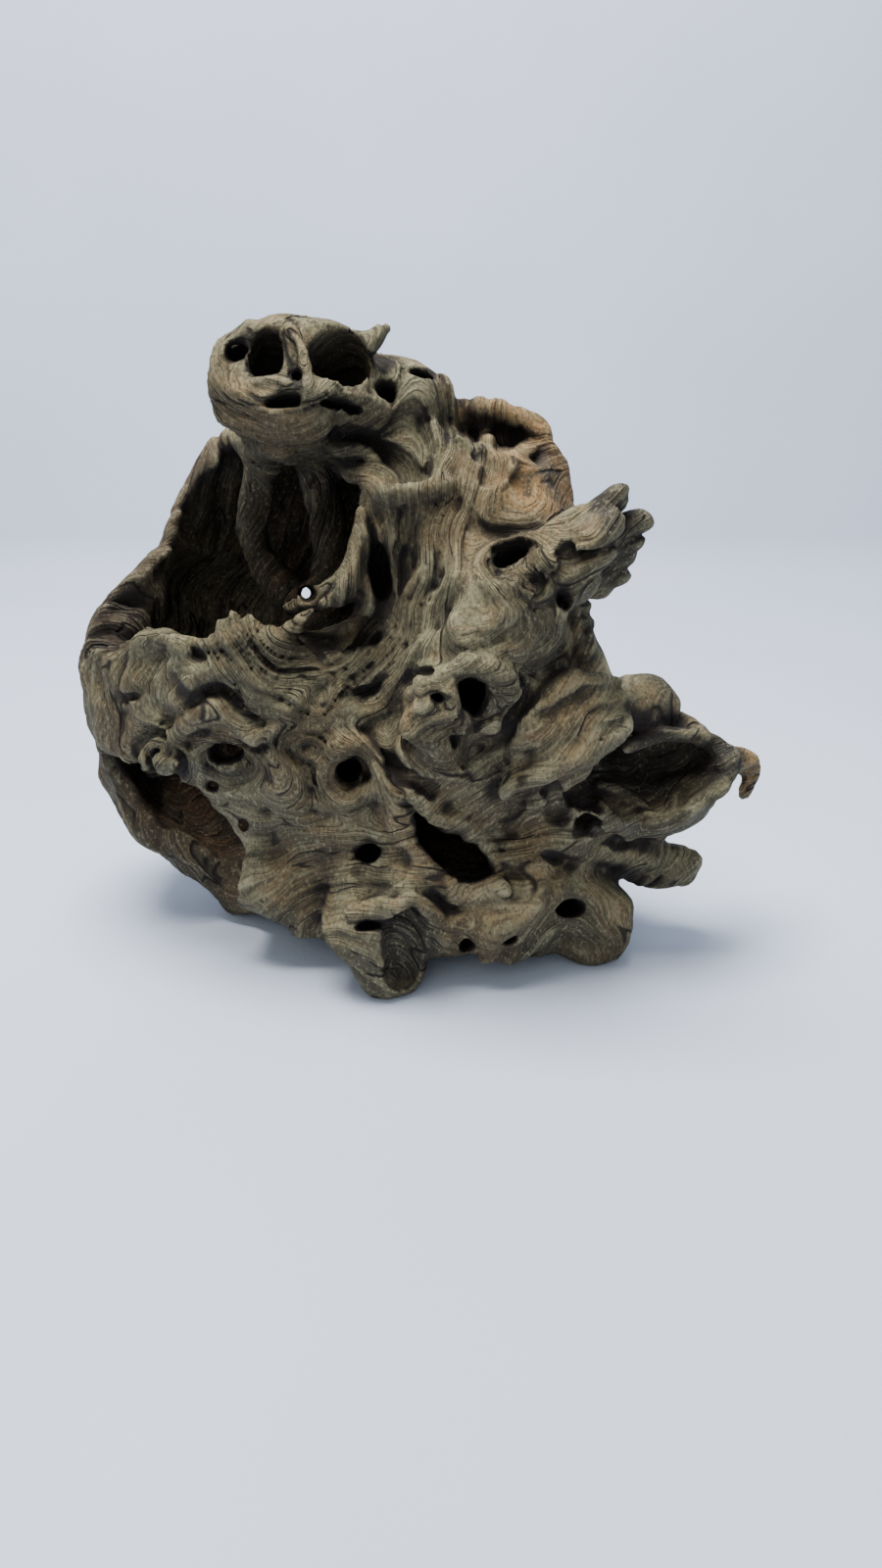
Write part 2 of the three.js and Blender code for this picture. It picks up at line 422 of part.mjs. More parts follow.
    [46, -60, 114, 3], [42, -60, 100, 3], [47, -47, 84, 3], [46, -40, 70, 3]])),
  cut('crack 10', 2, limb([
    [-11, -34, 148, 3], [2, -46, 158, 3], [14, -56, 162, 3], [24, -56, 168, 3]])),
  add('flow ridge 1', 4, limb([
    [-48, -40, 110, 5], [-28, -40, 120, 5], [-9, -40, 130, 5], [1, -48, 151, 5], [21, -56, 162, 5],
    [37, -56, 169, 5]])),
  add('flow ridge 2', 4, limb([
    [-8, -28, 157, 5], [4, -38, 173, 5], [10, -29, 189, 5], [4, -24, 204, 5]])),
  add('flow ridge 3', 4, limb([[40, -56, 99, 5], [54, -56, 109, 5], [70, -50, 113, 5]])),
  add('flow ridge 4', 4, limb([
    [49, -36, 62, 5], [62, -37, 66, 5], [76, -27, 56, 5], [96, -14, 46, 5]])),
  add('flow ridge 5', 4, limb([
    [-36, -33, 143, 5], [-14, -32, 146, 5], [2, -42, 160, 5], [18, -46, 174, 5]])),
  add('gnarl 1', 2, limb([
    [-24, -64, 43, 4.5], [-16, -64, 46, 4.5], [-11, -66, 44, 4.5], [-5, -62, 46, 4.5]])),
  add('gnarl 2', 3, limb([[-1, -61, 41, 5], [5, -52, 34, 5], [8, -50, 26, 5], [4, -50, 22, 5]])),
  add('gnarl 3', 3, limb([[12, -49, 34, 5], [28, -52, 34, 5], [34, -52, 27, 5], [34, -46, 12, 5]])),
  add('gnarl 4', 3, limb([[44, -46, 12, 5], [52, -46, 17, 5], [58, -44, 26, 5]])),
  add('scoop lip', 3, limb([
    [90, -22, 103, 3.4], [104, -20, 106, 3.4], [119, -19, 107, 3.4], [134, -12, 100, 3.4],
    [138, -16, 96, 3.4], [136, -20, 90, 3.4]])),
  add('scoop lip low', 3, limb([
    [132, -23, 86, 3.4], [122, -30, 82, 3.4], [116, -34, 77, 3.4], [111, -7, 54, 3.4],
    [96, -16, 50, 3.4]])),
  add('scoop fold 1', 2, limb([[78, -20, 84, 3], [92, -22, 80, 3], [101, -30, 76, 3]])),
  add('scoop fold 2', 2, limb([[76, -26, 79, 3], [82, -36, 78, 3], [94, -24, 61, 3]])),
  add('lobe', 3, limb([[90, -16, 123, 9], [103, -12, 120, 9], [111, -12, 115, 6]])),
  cut('foot hollow', 2, limb([[-11, -70, 36, 7], [-9, -74, 24, 10], [-12, -71, 11, 10.5]])),
  cut('foot crack', 2, limb([[-14, -70, 36, 1.6], [-14, -70, 22, 1.6], [-16, -67, 8, 1.6]])),
  add('pillar', 5, limb([
    [-58, 12, 228, 9], [-68, 23, 214, 8], [-75, 32, 194, 7], [-72, 40, 168, 7], [-63, 43, 155, 9],
    [-44, 36, 149, 9]])),
  add('pillar b', 5, limb([
    [-45, 15, 224, 8], [-44, 25, 201, 8], [-42, 34, 176, 8], [-44, 35, 157, 8]])),
  cut('light gap', 2, limb([
    [-45, -34, 174, 3.4], [-44, -14, 170, 3.4], [-48, 2, 166, 3.4], [-51, 22, 161, 3.4],
    [-52, 43, 155, 3.4], [-52, 60, 149, 3.4], [-54, 76, 142, 3.4], [-57, 94, 141, 3.4],
    [-61, 112, 138, 3.4]])),
];


// Flows of the grain: a place, the direction across its lines, and how far it reaches
const FLOWS = [
  { at: [12, 0, 96], across: [-0.57, 0.1, 0.82], reach: 46 },
  { at: [40, 0, 60], across: [-0.5, 0.1, 0.86], reach: 40 },
  { at: [-95, -10, 104], across: [0.12, 0.25, 1], reach: 44 },
  { at: [-60, -20, 60], across: [-0.35, 0.2, 0.92], reach: 34 },
  { at: [-5, 0, 185], across: [1, 0.15, 0.1], reach: 30 },
  { at: [45, 0, 168], across: [-0.75, 0.1, 0.66], reach: 26 },
  { at: [62, -38, 172], across: [-0.68, 0, 0.73], reach: 30 },
  { at: [36, -44, 150], across: [-0.66, 0, 0.75], reach: 26 },
  { at: [-24, -22, 176], across: [0.95, 0.1, -0.28], reach: 20 },
  { at: [-44, -34, 158], across: [0.75, 0.1, -0.65], reach: 18 },
  { at: [-70, 44, 196], across: [1, 0.3, 0], reach: 34 },
  { at: [-96, 44, 140], across: [1, 0.5, 0], reach: 32 },
  { at: [80, -10, 84], across: [-0.35, 0.1, 0.94], reach: 30 },
  { at: [90, -10, 40], across: [-0.2, 0.1, 0.98], reach: 26 },
  { at: [-8, -50, 20], across: [1, -0.3, 0.1], reach: 24 },
  { at: [60, -25, 14], across: [0.9, -0.3, 0.3], reach: 24 },
  { at: [-58, -20, 248], across: [0.1, -0.8, 0.6], reach: 22 },
  { at: [-90, 60, 110], across: [0.8, 0.5, 0.1], reach: 40 },
  { at: [-60, 70, 180], across: [0.9, 0.3, 0.1], reach: 36 },
  { at: [20, 80, 120], across: [-0.4, 0.2, 0.9], reach: 50 },
  { at: [20, 80, 40], across: [0.2, 0.1, 1], reach: 40 },
];

// Knots: places that the lines of the grain run round in rings, and how far they do
const KNOTS = [
  { at: [-29, -46, 96], reach: 15 },
  { at: [-110, -22, 98], reach: 12 },
  { at: [-77, -32, 100], reach: 12 },
  { at: [24, -52, 137], reach: 14 },
  { at: [8, -60, 120], reach: 10 },
  { at: [-40, -44, 128], reach: 8 },
  { at: [-44, -46, 106], reach: 8 },
  { at: [42, -48, 180], reach: 10 },
  { at: [-84, 92, 70], reach: 20 },
];

// Smooth random waves, the same on every run
function latticeValue(i, j, k, seed) {
  let n = Math.imul(i, 374761393) + Math.imul(j, 668265263) + Math.imul(k, 1440662683);
  n = (n + Math.imul(seed, 974634777)) >>> 0;
  n = Math.imul(n ^ (n >>> 13), 1274126177) >>> 0;
  return ((n ^ (n >>> 16)) >>> 0) / 2147483648 - 1;
}

function wave(x, y, z, seed) {
  const i = Math.floor(x);
  const j = Math.floor(y);
  const k = Math.floor(z);
  const ease = (t) => t * t * (3 - 2 * t);
  const u = ease(x - i);
  const v = ease(y - j);
  const w = ease(z - k);
  let sum = 0;
  for (let corner = 0; corner < 8; corner += 1) {
    const a = corner & 1;
    const b = (corner >> 1) & 1;
    const c = corner >> 2;
    const weight = (a ? u : 1 - u) * (b ? v : 1 - v) * (c ? w : 1 - w);
    sum += weight * latticeValue(i + a, j + b, k + c, seed);
  }
  return sum;
}

function bend(x, y, z) {
  return [0, 1, 2].map((axis) => WAVES.reduce((sum, [height, length, seed]) =>
    sum + height * wave(x / length, y / length, z / length, seed + axis), [x, y, z][axis]));
}

// Grain: the growth lines are where this value stays the same
const flowNormals = FLOWS.map((flow) => new THREE.Vector3(...flow.across).normalize().toArray());

function grain(x, y, z) {
  let sum = 0;
  let total = TINY;
  FLOWS.forEach(({ at, reach }, i) => {
    const n = flowNormals[i];
    const away = (x - at[0]) ** 2 + (y - at[1]) ** 2 + (z - at[2]) ** 2;
    const weight = Math.exp(-away / (2 * reach * reach));
    sum += weight * (x * n[0] + y * n[1] + z * n[2]);
    total += weight;
  });
  const line = GRAIN_WAVES.reduce((value, [height, length, seed]) =>
    value + height * wave(x / length, y / length, z / length, seed), sum / total);
  return KNOTS.reduce((value, { at, reach }) => {
    const away = Math.hypot(x - at[0], y - at[1], z - at[2]);
    return value + (away - value) * Math.exp(-((away / reach) ** 2));
  }, line);
}

function ridgeHeight(x, y, z) {
  const line = grain(x, y, z);
  const along = x / ALONG_GRAIN[0];
  const up = z / ALONG_GRAIN[2] + GRAIN_SLANT * y / ALONG_GRAIN[1];
  const rise = RIDGES.reduce((sum, { height, spacing, stretch, seed }) =>
    sum + height * Math.sqrt(Math.abs(wave(line / spacing, along * stretch, up * stretch, seed))),
  RIDGE_BASE);
  return Math.max(rise, RIDGE_FLOOR);
}

// The grid that the field is worked out on
function openGrid() {
  const size = REACH_LOW.map((low, i) => Math.ceil((REACH_HIGH[i] - low) / GRID) + 1);
  const [nx, ny, nz] = size;
  const bent = new Float32Array(nx * ny * nz * 3);
  const values = new Float32Array(nx * ny * nz).fill(OPEN_AIR);
  const index = (i, j, k) => i + nx * (j + ny * k);
  const place = (...cell) => cell.map((n, axis) => REACH_LOW[axis] + n * GRID);
  for (let k = 0; k < nz; k += 1) {
    for (let j = 0; j < ny; j += 1) {
      for (let i = 0; i < nx; i += 1) {
        bent.set(bend(...place(i, j, k)), index(i, j, k) * 3);
      }
    }
  }
  return { size, bent, values, index, place };
}

// Joins or cuts the bodies one after another
function work({ size, bent, values, index }, bodies) {
  for (const { blend, body, sign } of bodies) {
    const reach = blend + BOX_MARGIN;
    const from = body.low.map((low, i) =>
      Math.max(Math.floor((low - reach - REACH_LOW[i]) / GRID), 0));
    const to = body.high.map((high, i) =>
      Math.min(Math.ceil((high + reach - REACH_LOW[i]) / GRID), size[i] - 1));
    for (let k = from[2]; k <= to[2]; k += 1) {
      for (let j = from[1]; j <= to[1]; j += 1) {
        for (let i = from[0]; i <= to[0]; i += 1) {
          const n = index(i, j, k);
          const d = body.distance(bent[n * 3], bent[n * 3 + 1], bent[n * 3 + 2]);
          values[n] = sign > 0 ? softMin(values[n], d, blend) : softMax(values[n], -d, blend);
        }
      }
    }
  }
}

// Raises the ridges of the grain on everything that is there so far
function raiseGrain({ bent, values }) {
  values.forEach((value, n) => {
    if (Math.abs(value) < SKIN) {
      values[n] -= ridgeHeight(bent[n * 3], bent[n * 3 + 1], bent[n * 3 + 2]);
    }
  });
}

function buildField() {
  const field = openGrid();
  work(field, [...TRUNK, ...LIMBS]);
  raiseGrain(field);
  work(field, DETAILS);
  field.values.forEach((value, n) => {
    if (value === 0) {
      field.values[n] = TINY;
    }
  });
  return field;
}

// Marching cubes over the grid, with shared vertices
const CORNERS = [
  [0, 0, 0], [1, 0, 0], [1, 1, 0], [0, 1, 0], [0, 0, 1], [1, 0, 1], [1, 1, 1], [0, 1, 1],
];
const CUBE_EDGES = [
  [0, 1], [1, 2], [2, 3], [3, 0], [4, 5], [5, 6], [6, 7], [7, 4], [0, 4], [1, 5], [2, 6], [3, 7],
];

function traceSurface({ size, values, index, place }) {
  const [nx, ny, nz] = size;
  const points = [];
  const faces = [];
  const known = new Map();
  const crossing = (i, j, k, edge) => {
    const cell = [i, j, k];
    const [a, b] = CUBE_EDGES[edge].map((corner) =>
      CORNERS[corner].map((c, axis) => c + cell[axis]));
    const ia = index(...a);
    const ib = index(...b);
    const axis = [1, nx, nx * ny].indexOf(Math.abs(ia - ib));
    const key = Math.min(ia, ib) * 3 + axis;
    if (!known.has(key)) {
      const t = clamp(values[ia] / (values[ia] - values[ib]), EDGE_PART, 1 - EDGE_PART);
      const pb = place(...b);
      known.set(key, points.length);
      points.push(place(...a).map((v, n) => v + (pb[n] - v) * t));
    }
    return known.get(key);
  };
  for (let k = 0; k < nz - 1; k += 1) {
    for (let j = 0; j < ny - 1; j += 1) {
      for (let i = 0; i < nx - 1; i += 1) {
        let kind = 0;
        CORNERS.forEach(([a, b, c], bit) => {
          if (values[index(i + a, j + b, k + c)] < 0) {
            kind |= 1 << bit;
          }
        });
        if (edgeTable[kind] === 0) {
          continue;
        }
        for (let n = kind * 16; triTable[n] !== -1; n += 3) {
          faces.push([2, 1, 0].map((m) => crossing(i, j, k, triTable[n + m])));
        }
      }
    }
  }
  return { points, faces };
}

// Keeps the largest connected piece of a surface
function largestPiece({ points, faces }) {
  const parent = points.map((_, i) => i);
  const root = (i) => {
    while (parent[i] !== i) {
      parent[i] = parent[parent[i]];
      i = parent[i];
    }
    return i;
  };
  faces.forEach(([a, b, c]) => {
    parent[root(a)] = root(b);
    parent[root(b)] = root(c);
  });
  const counts = new Map();
  faces.forEach(([a]) => counts.set(root(a), (counts.get(root(a)) ?? 0) + 1));
  const best = [...counts].sort((p, q) => q[1] - p[1])[0][0];
  return { points, faces: faces.filter(([a]) => root(a) === best) };
}

// Thins a closed mesh by collapsing the edges that matter least to its shape
function thinOut({ points, faces }, maxFaces) {
  const position = points.map((p) => [...p]);
  const quadrics = points.map(() => new Float64Array(10));
  const corners = faces.map((f) => [...f]);
  const around = points.map(() => new Set());
  const alive = faces.map(() => true);
  const version = new Uint32Array(points.length);
  let left = faces.length;
  const cross = (a, b, c) => {
    const u = [b[0] - a[0], b[1] - a[1], b[2] - a[2]];
    const v = [c[0] - a[0], c[1] - a[1], c[2] - a[2]];
    return [u[1] * v[2] - u[2] * v[1], u[2] * v[0] - u[0] * v[2], u[0] * v[1] - u[1] * v[0]];
  };
  corners.forEach(([a, b, c], f) => {
    const n = cross(position[a], position[b], position[c]);
    const area = Math.hypot(...n);
    if (area > MIN_AREA) {
      const [x, y, z] = n.map((v) => v / area);
      const d = -(x * position[a][0] + y * position[a][1] + z * position[a][2]);
      const plane = [x * x, x * y, x * z, x * d, y * y, y * z, y * d, z * z, z * d, d * d];
      [a, b, c].forEach((v) => plane.forEach((q, i) => {
        quadrics[v][i] += q * area;
      }));
    }
    [a, b, c].forEach((v) => around[v].add(f));
  });
  const cost = (q, [x, y, z]) => q[0] * x * x + 2 * q[1] * x * y + 2 * q[2] * x * z + 2 * q[3] * x
    + q[4] * y * y + 2 * q[5] * y * z + 2 * q[6] * y + q[7] * z * z + 2 * q[8] * z + q[9];
  const bestPlace = (q, pa, pb) => {
    const [a, b, c, d, e, f, g, h, i] = q;
    const det = a * (e * h - f * f) - b * (b * h - f * c) + c * (b * f - e * c);
    const middle = pa.map((v, n) => (v + pb[n]) / 2);
    if (Math.abs(det) > MIN_SOLVABLE) {
      const x = (-d * (e * h - f * f) + b * (g * h - f * i) - c * (g * f - e * i)) / det;
      const y = (a * (-g * h + f * i) + d * (b * h - f * c) + c * (-b * i + g * c)) / det;
      const z = (a * (-e * i + g * f) - b * (-b * i + g * c) - d * (b * f - e * c)) / det;
      const span = Math.hypot(...pa.map((v, n) => v - pb[n]));
      if (Math.hypot(x - middle[0], y - middle[1], z - middle[2]) < span) {
        return [x, y, z];
      }
    }
    return middle;
  };
  const heap = [];
  const push = (item) => {
    let i = heap.push(item) - 1;
    while (i > 0) {
      const up = (i - 1) >> 1;
      if (heap[up].cost <= item.cost) {
        break;
      }
      heap[i] = heap[up];
      i = up;
    }
    heap[i] = item;
  };
  const pop = () => {
    const top = heap[0];
    const last = heap.pop();
    if (heap.length > 0) {
      let i = 0;
      for (;;) {
        let next = 2 * i + 1;
        if (next >= heap.length) {
          break;
        }
        if (next + 1 < heap.length && heap[next + 1].cost < heap[next].cost) {
          next += 1;
        }
        if (heap[next].cost >= last.cost) {
          break;
        }
        heap[i] = heap[next];
        i = next;
      }
      heap[i] = last;
    }
    return top;
  };
  const offer = (a, b) => {
    const q = quadrics[a].map((v, i) => v + quadrics[b][i]);
    const at = bestPlace(q, position[a], position[b]);
    const span = Math.hypot(...position[a].map((v, n) => v - position[b][n]));
    push({ a, b, at, cost: cost(q, at) + LENGTH_COST * span ** 3, va: version[a], vb: version[b] });
  };
  const neighbours = (v) => {
    const out = new Set();
    around[v].forEach((f) => corners[f].forEach((w) => out.add(w)));
    out.delete(v);
    return out;
  };
  const turnsOver = (v, other, at) => {
    for (const f of around[v]) {
      const face = corners[f];
      if (face.includes(other)) {
        continue;
      }
      const before = cross(...face.map((w) => position[w]));
      const after = cross(...face.map((w) => (w === v ? at : position[w])));
      const dot = before[0] * after[0] + before[1] * after[1] + before[2] * after[2];
      const sides = face.map((w, n) => {
        const p = w === v ? at : position[w];
        const o = face[(n + 1) % 3] === v ? at : position[face[(n + 1) % 3]];
        return (p[0] - o[0]) ** 2 + (p[1] - o[1]) ** 2 + (p[2] - o[2]) ** 2;
      });
      const area = Math.hypot(...after);
      if (dot < MIN_TURN * Math.hypot(...before) * area || area < MIN_SHAPE * Math.max(...sides)) {
        return true;
      }
    }
    return false;
  };
  corners.forEach(([a, b, c]) => [[a, b], [b, c], [c, a]].forEach(([p, q]) => {
    if (p < q) {
      offer(p, q);
    }
  }));
  while (left > maxFaces && heap.length > 0) {
    const { a, b, at, va, vb } = pop();
    if (version[a] !== va || version[b] !== vb) {
      continue;
    }
    const nearA = neighbours(a);
    const nearB = neighbours(b);
    const shared = [...nearA].filter((v) => nearB.has(v));
    if (shared.length !== 2 || turnsOver(a, b, at) || turnsOver(b, a, at)) {
      continue;
    }
    quadrics[a] = quadrics[a].map((v, i) => v + quadrics[b][i]);
    position[a] = at;
    for (const f of [...around[b]]) {
      if (corners[f].includes(a)) {
        corners[f].forEach((v) => around[v].delete(f));
        alive[f] = false;
        left -= 1;
      } else {
        corners[f] = corners[f].map((v) => (v === b ? a : v));
        around[a].add(f);
      }
    }
    around[b].clear();
    version[a] += 1;
    version[b] += 1;
    neighbours(a).forEach((v) => offer(a, v));
  }
  return { points: position, faces: corners.filter((_, f) => alive[f]) };
}

// Turns points and faces into a geometry without unused points
function toGeometry({ points, faces }) {
  const used = new Map();
  const positions = [];
  const index = faces.flat().map((v) => {
    if (!used.has(v)) {
      used.set(v, positions.length / 3);
      positions.push(...points[v]);
    }
    return used.get(v);
  });
  const geometry = new THREE.BufferGeometry();
  geometry.setAttribute('position', new THREE.Float32BufferAttribute(positions, 3));
  geometry.setIndex(index);
  return geometry;
}

// Levels the feet: everything under z = 0 is cut away
async function levelFeet(geometry) {
  const wasm = await Module();
  wasm.setup();
  const solid = (shape) => new wasm.Manifold(new wasm.Mesh({
    numProp: 3,
    vertProperties: new Float32Array(shape.attributes.position.array),
    triVerts: new Uint32Array(shape.index.array),
  }));
  const span = 2 * (REACH_HIGH[0] - REACH_LOW[0]);
  const box = new THREE.BoxGeometry(span, span, FLOOR_DEPTH);
  box.translate(0, 0, -FLOOR_DEPTH / 2);
  box.deleteAttribute('normal');
  box.deleteAttribute('uv');
  const mesh = solid(geometry).subtract(solid(mergeVertices(box))).getMesh();
  const level = new THREE.BufferGeometry();
  level.setAttribute('position', new THREE.Float32BufferAttribute(mesh.vertProperties, 3));
  level.setIndex([...mesh.triVerts]);
  return level;
}

const traced = largestPiece(traceSurface(buildField()));
const thinned = thinOut(traced, MAX_TRIANGLES);
const woodGeometry = await levelFeet(toGeometry(thinned));
woodGeometry.translate(-CENTRE[0], -CENTRE[1], 0);
woodGeometry.computeVertexNormals();

const wood = new THREE.Mesh(
  woodGeometry,
  new THREE.MeshStandardMaterial({ color: WOOD_COLOUR, roughness: 0.9, metalness: 0 }));
wood.name = 'driftwood';

const part = new THREE.Group();
part.add(wood);

export default part;
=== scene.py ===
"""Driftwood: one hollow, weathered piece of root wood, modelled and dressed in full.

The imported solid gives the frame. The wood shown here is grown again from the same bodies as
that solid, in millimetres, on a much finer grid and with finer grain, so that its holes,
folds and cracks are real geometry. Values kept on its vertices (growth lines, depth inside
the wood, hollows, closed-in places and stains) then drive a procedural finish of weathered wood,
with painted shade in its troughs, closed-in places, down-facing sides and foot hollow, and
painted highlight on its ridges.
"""

from __future__ import annotations

import logging
import math
from collections.abc import Sequence
from dataclasses import dataclass, field
from enum import Enum

import bpy
import numpy as np
import openvdb
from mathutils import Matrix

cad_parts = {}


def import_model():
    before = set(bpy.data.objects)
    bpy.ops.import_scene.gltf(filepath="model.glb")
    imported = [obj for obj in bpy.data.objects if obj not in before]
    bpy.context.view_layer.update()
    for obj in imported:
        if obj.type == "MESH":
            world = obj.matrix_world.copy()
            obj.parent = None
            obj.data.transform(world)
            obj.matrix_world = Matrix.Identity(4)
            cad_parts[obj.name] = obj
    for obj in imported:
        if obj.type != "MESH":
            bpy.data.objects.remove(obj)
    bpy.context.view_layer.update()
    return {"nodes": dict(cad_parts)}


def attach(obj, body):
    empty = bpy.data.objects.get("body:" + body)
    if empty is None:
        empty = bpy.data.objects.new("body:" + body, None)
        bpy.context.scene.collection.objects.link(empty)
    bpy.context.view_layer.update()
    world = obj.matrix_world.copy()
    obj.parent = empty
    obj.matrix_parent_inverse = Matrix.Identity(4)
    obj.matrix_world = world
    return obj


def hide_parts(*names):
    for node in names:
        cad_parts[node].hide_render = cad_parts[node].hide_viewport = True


LOG = logging.getLogger("driftwood")
BODY = "root"
CAD_NODE = "driftwood"

MM = 0.001
TINY = 1e-6
TINIER = 1e-9
Vec3 = tuple[float, float, float]
Vec4 = tuple[float, float, float, float]
Colour = tuple[float, float, float]

# Frame of the bodies, in millimetres: what the grid covers, its middle on the floor, the
# distance of open air, how far past its box a body counts, and how thick the ridged skin is
REACH_LOW: Vec3 = (-172, -92, -14)
REACH_HIGH: Vec3 = (182, 124, 292)
CENTRE: Vec3 = (1.41, 16.02, 0)
OPEN_AIR = 60.0
BOX_MARGIN = 8.0
SKIN = 9.0

# How many straight bars stand for the line between two places of a limb, and for a short limb
SPANS = 4
SHORT_SPANS = 6

# How far a pit leans, in degrees, and how softly it is cut, in millimetres
PIT_LEAN = -24
PIT_BLEND = 2

# The direction in which a deep limb is stretched: inward, as seen from above the front
INWARD = np.array((0, 0.93, -0.37), np.float32) / math.hypot(0.93, 0.37)


class Act(Enum):
    """What a step does to the wood."""

    ADD = 1
    CUT = -1


def eased(t: np.ndarray) -> np.ndarray:
    """A smooth rise from 0 to 1 as a value does the same."""
    return t * t * (3 - 2 * t)


def soft_min(a: np.ndarray, b: np.ndarray, blend: float) -> np.ndarray:
    """The smaller of two distances, rounded off where they are nearly alike.

    Args:
        a: One distance at each point.
        b: The other distance at each point.
        blend: How far the rounding reaches, in millimetres.

    Returns:
        The joined distance at each point.
    """
    low = np.minimum(a, b)
    if blend <= 0:
        return low
    near = np.maximum(blend - np.abs(a - b), 0) / blend
    return low - near * near * blend * 0.25


def turning(lean: float, tilt: float, turn: float) -> np.ndarray:
    """The rotation that leans a body about X, then tilts it about Y, then turns it about Z.

    Args:
        lean: Angle about X, in degrees.
        tilt: Angle about Y, in degrees.
        turn: Angle about Z, in degrees.

    Returns:
        A 3 x 3 rotation matrix.
    """
    (cx, cy, cz), (sx, sy, sz) = (
        [f(math.radians(v)) for v in (lean, tilt, turn)] for f in (math.cos, math.sin)
    )
    about_x = np.array([[1, 0, 0], [0, cx, -sx], [0, sx, cx]])
    about_y = np.array([[cy, 0, sy], [0, 1, 0], [-sy, 0, cy]])
    about_z = np.array([[cz, -sz, 0], [sz, cz, 0], [0, 0, 1]])
    return (about_z @ about_y @ about_x).astype(np.float32)


@dataclass(frozen=True)
class Oval:
    """An egg-shaped body.

    Attributes:
        centre: Its middle.
        half: Its half sizes along its own axes.
        tilt: Angle about Y, in degrees.
        lean: Angle about X, in degrees.
        turn: Angle about Z, in degrees.
    """

    centre: Vec3
    half: Vec3
    tilt: float = 0
    lean: float = 0
    turn: float = 0

    def box(self) -> tuple[np.ndarray, np.ndarray]:
        """The lowest and highest corner of the body."""
        spin = turning(self.lean, self.tilt, self.turn)
        reach = np.sqrt(((spin * np.array(self.half)) ** 2).sum(1))
        return np.array(self.centre) - reach, np.array(self.centre) + reach

    def distance(self, at: np.ndarray) -> np.ndarray:
        """The distance of each point from the body, negative inside it."""
        half = np.array(self.half, np.float32)
        own = (at - np.array(self.centre, np.float32)) @ turning(self.lean, self.tilt, self.turn)
        scaled = own / half
        size = np.sqrt((scaled**2).sum(1)) + TINY
        slope = np.sqrt(((scaled / half) ** 2).sum(1)) + TINY
        return size * (size - 1) / slope


@dataclass(frozen=True)
class Limb:
    """A round bar along a smooth line.

    Attributes:
        points: Places on the line, each with the bar's radius there.
        deep: How many times deeper than wide the bar is, inward.
    """

    points: tuple[Vec4, ...]
    deep: float = 1

    def line(self) -> np.ndarray:
        """The smooth line through the points, with a radius at each place."""
        known = np.array(self.points, float)
        spans = SHORT_SPANS if len(known) < 3 else SPANS
        ends = np.vstack([2 * known[0] - known[1], known, 2 * known[-1] - known[-2]])
        smooth = []
        for p0, p1, p2, p3 in zip(ends[:-3], ends[1:-2], ends[2:-1], ends[3:]):
            for t in np.arange(spans) / spans:
                first = (p2 - p0) * t
                second = (2 * p0 - 5 * p1 + 4 * p2 - p3) * t * t
                third = (3 * p1 - p0 - 3 * p2 + p3) * t**3
                smooth.append(0.5 * (2 * p1 + first + second + third))
        return np.array([*smooth, known[-1]], np.float32)

    def box(self) -> tuple[np.ndarray, np.ndarray]:
        """The lowest and highest corner of the body."""
        line = self.line()
        reach = line[:, 3:] * self.deep
        return (line[:, :3] - reach).min(0), (line[:, :3] + reach).max(0)

    def distance(self, at: np.ndarray) -> np.ndarray:
        """The distance of each point from the body, negative inside it."""
        line = self.line()
        best = np.full(len(at), np.inf, np.float32)
        for start, end in zip(line[:-1], line[1:]):
            span = end[:3] - start[:3]
            t = np.clip((at - start[:3]) @ span / (span @ span + TINIER), 0, 1)
            off = at - start[:3] - t[:, None] * span
            if self.deep > 1:
                off += ((off @ INWARD) * (1 / self.deep - 1))[:, None] * INWARD
            radius = start[3] + (end[3] - start[3]) * t
            best = np.minimum(best, np.sqrt((off**2).sum(1)) - radius)
        return best


@dataclass(frozen=True)
class Slice:
    """What lies in front of a plane, within one oval.

    Attributes:
        normal: The direction that the slice faces.
        offset: The plane's distance from the origin along it.
        body: The oval that bounds the slice.
    """

    normal: Vec3
    offset: float
    body: Oval

    def box(self) -> tuple[np.ndarray, np.ndarray]:
        """The lowest and highest corner of the body."""
        return self.body.box()

    def distance(self, at: np.ndarray) -> np.ndarray:
        """The distance of each point from the body, negative inside it."""
        normal = np.array(self.normal, np.float32)
        normal /= np.sqrt(normal @ normal)
        return np.maximum(self.offset - at @ normal, self.body.distance(at))


Body = Oval | Limb | Slice


@dataclass(frozen=True)
class Step:
    """One body that is joined to the wood or cut out of it.

    Attributes:
        name: What it makes.
        act: Whether it joins or cuts.
        blend: How softly it does so, in millimetres.
        body: The body.
    """

    name: str
    act: Act
    blend: float
    body: Body


def add(name: str, blend: float, body: Body) -> Step:
    """A step that joins a body to the wood."""
    return Step(name, Act.ADD, blend, body)


def cut(name: str, blend: float, body: Body) -> Step:
    """A step that cuts a body out of the wood."""
    return Step(name, Act.CUT, blend, body)


def pit(name: str, centre: Vec3, half: Vec3, tilt: float = 0) -> Step:
    """A step that cuts a pit into the front."""
    return cut(name, PIT_BLEND, Oval(centre, half, tilt, PIT_LEAN))


def bar(*points: Vec4) -> Limb:
    """A limb through places that each have a radius of their own."""
    return Limb(points)


def even(radius: float, *places: Vec3) -> Limb:
    """A limb with one radius all along."""
    return Limb(tuple((*place, radius) for place in places))


@dataclass(frozen=True)
class Portion:
    """A part of the wood that has a name of its own.

    Its places are stated as they lie after the waves in Grain.bend have moved them.

    Attributes:
        forms: Steps that give its main shape.
        details: Steps laid on the surface once all main shapes are there.
    """

    forms: tuple[Step, ...] = ()
    details: tuple[Step, ...] = ()


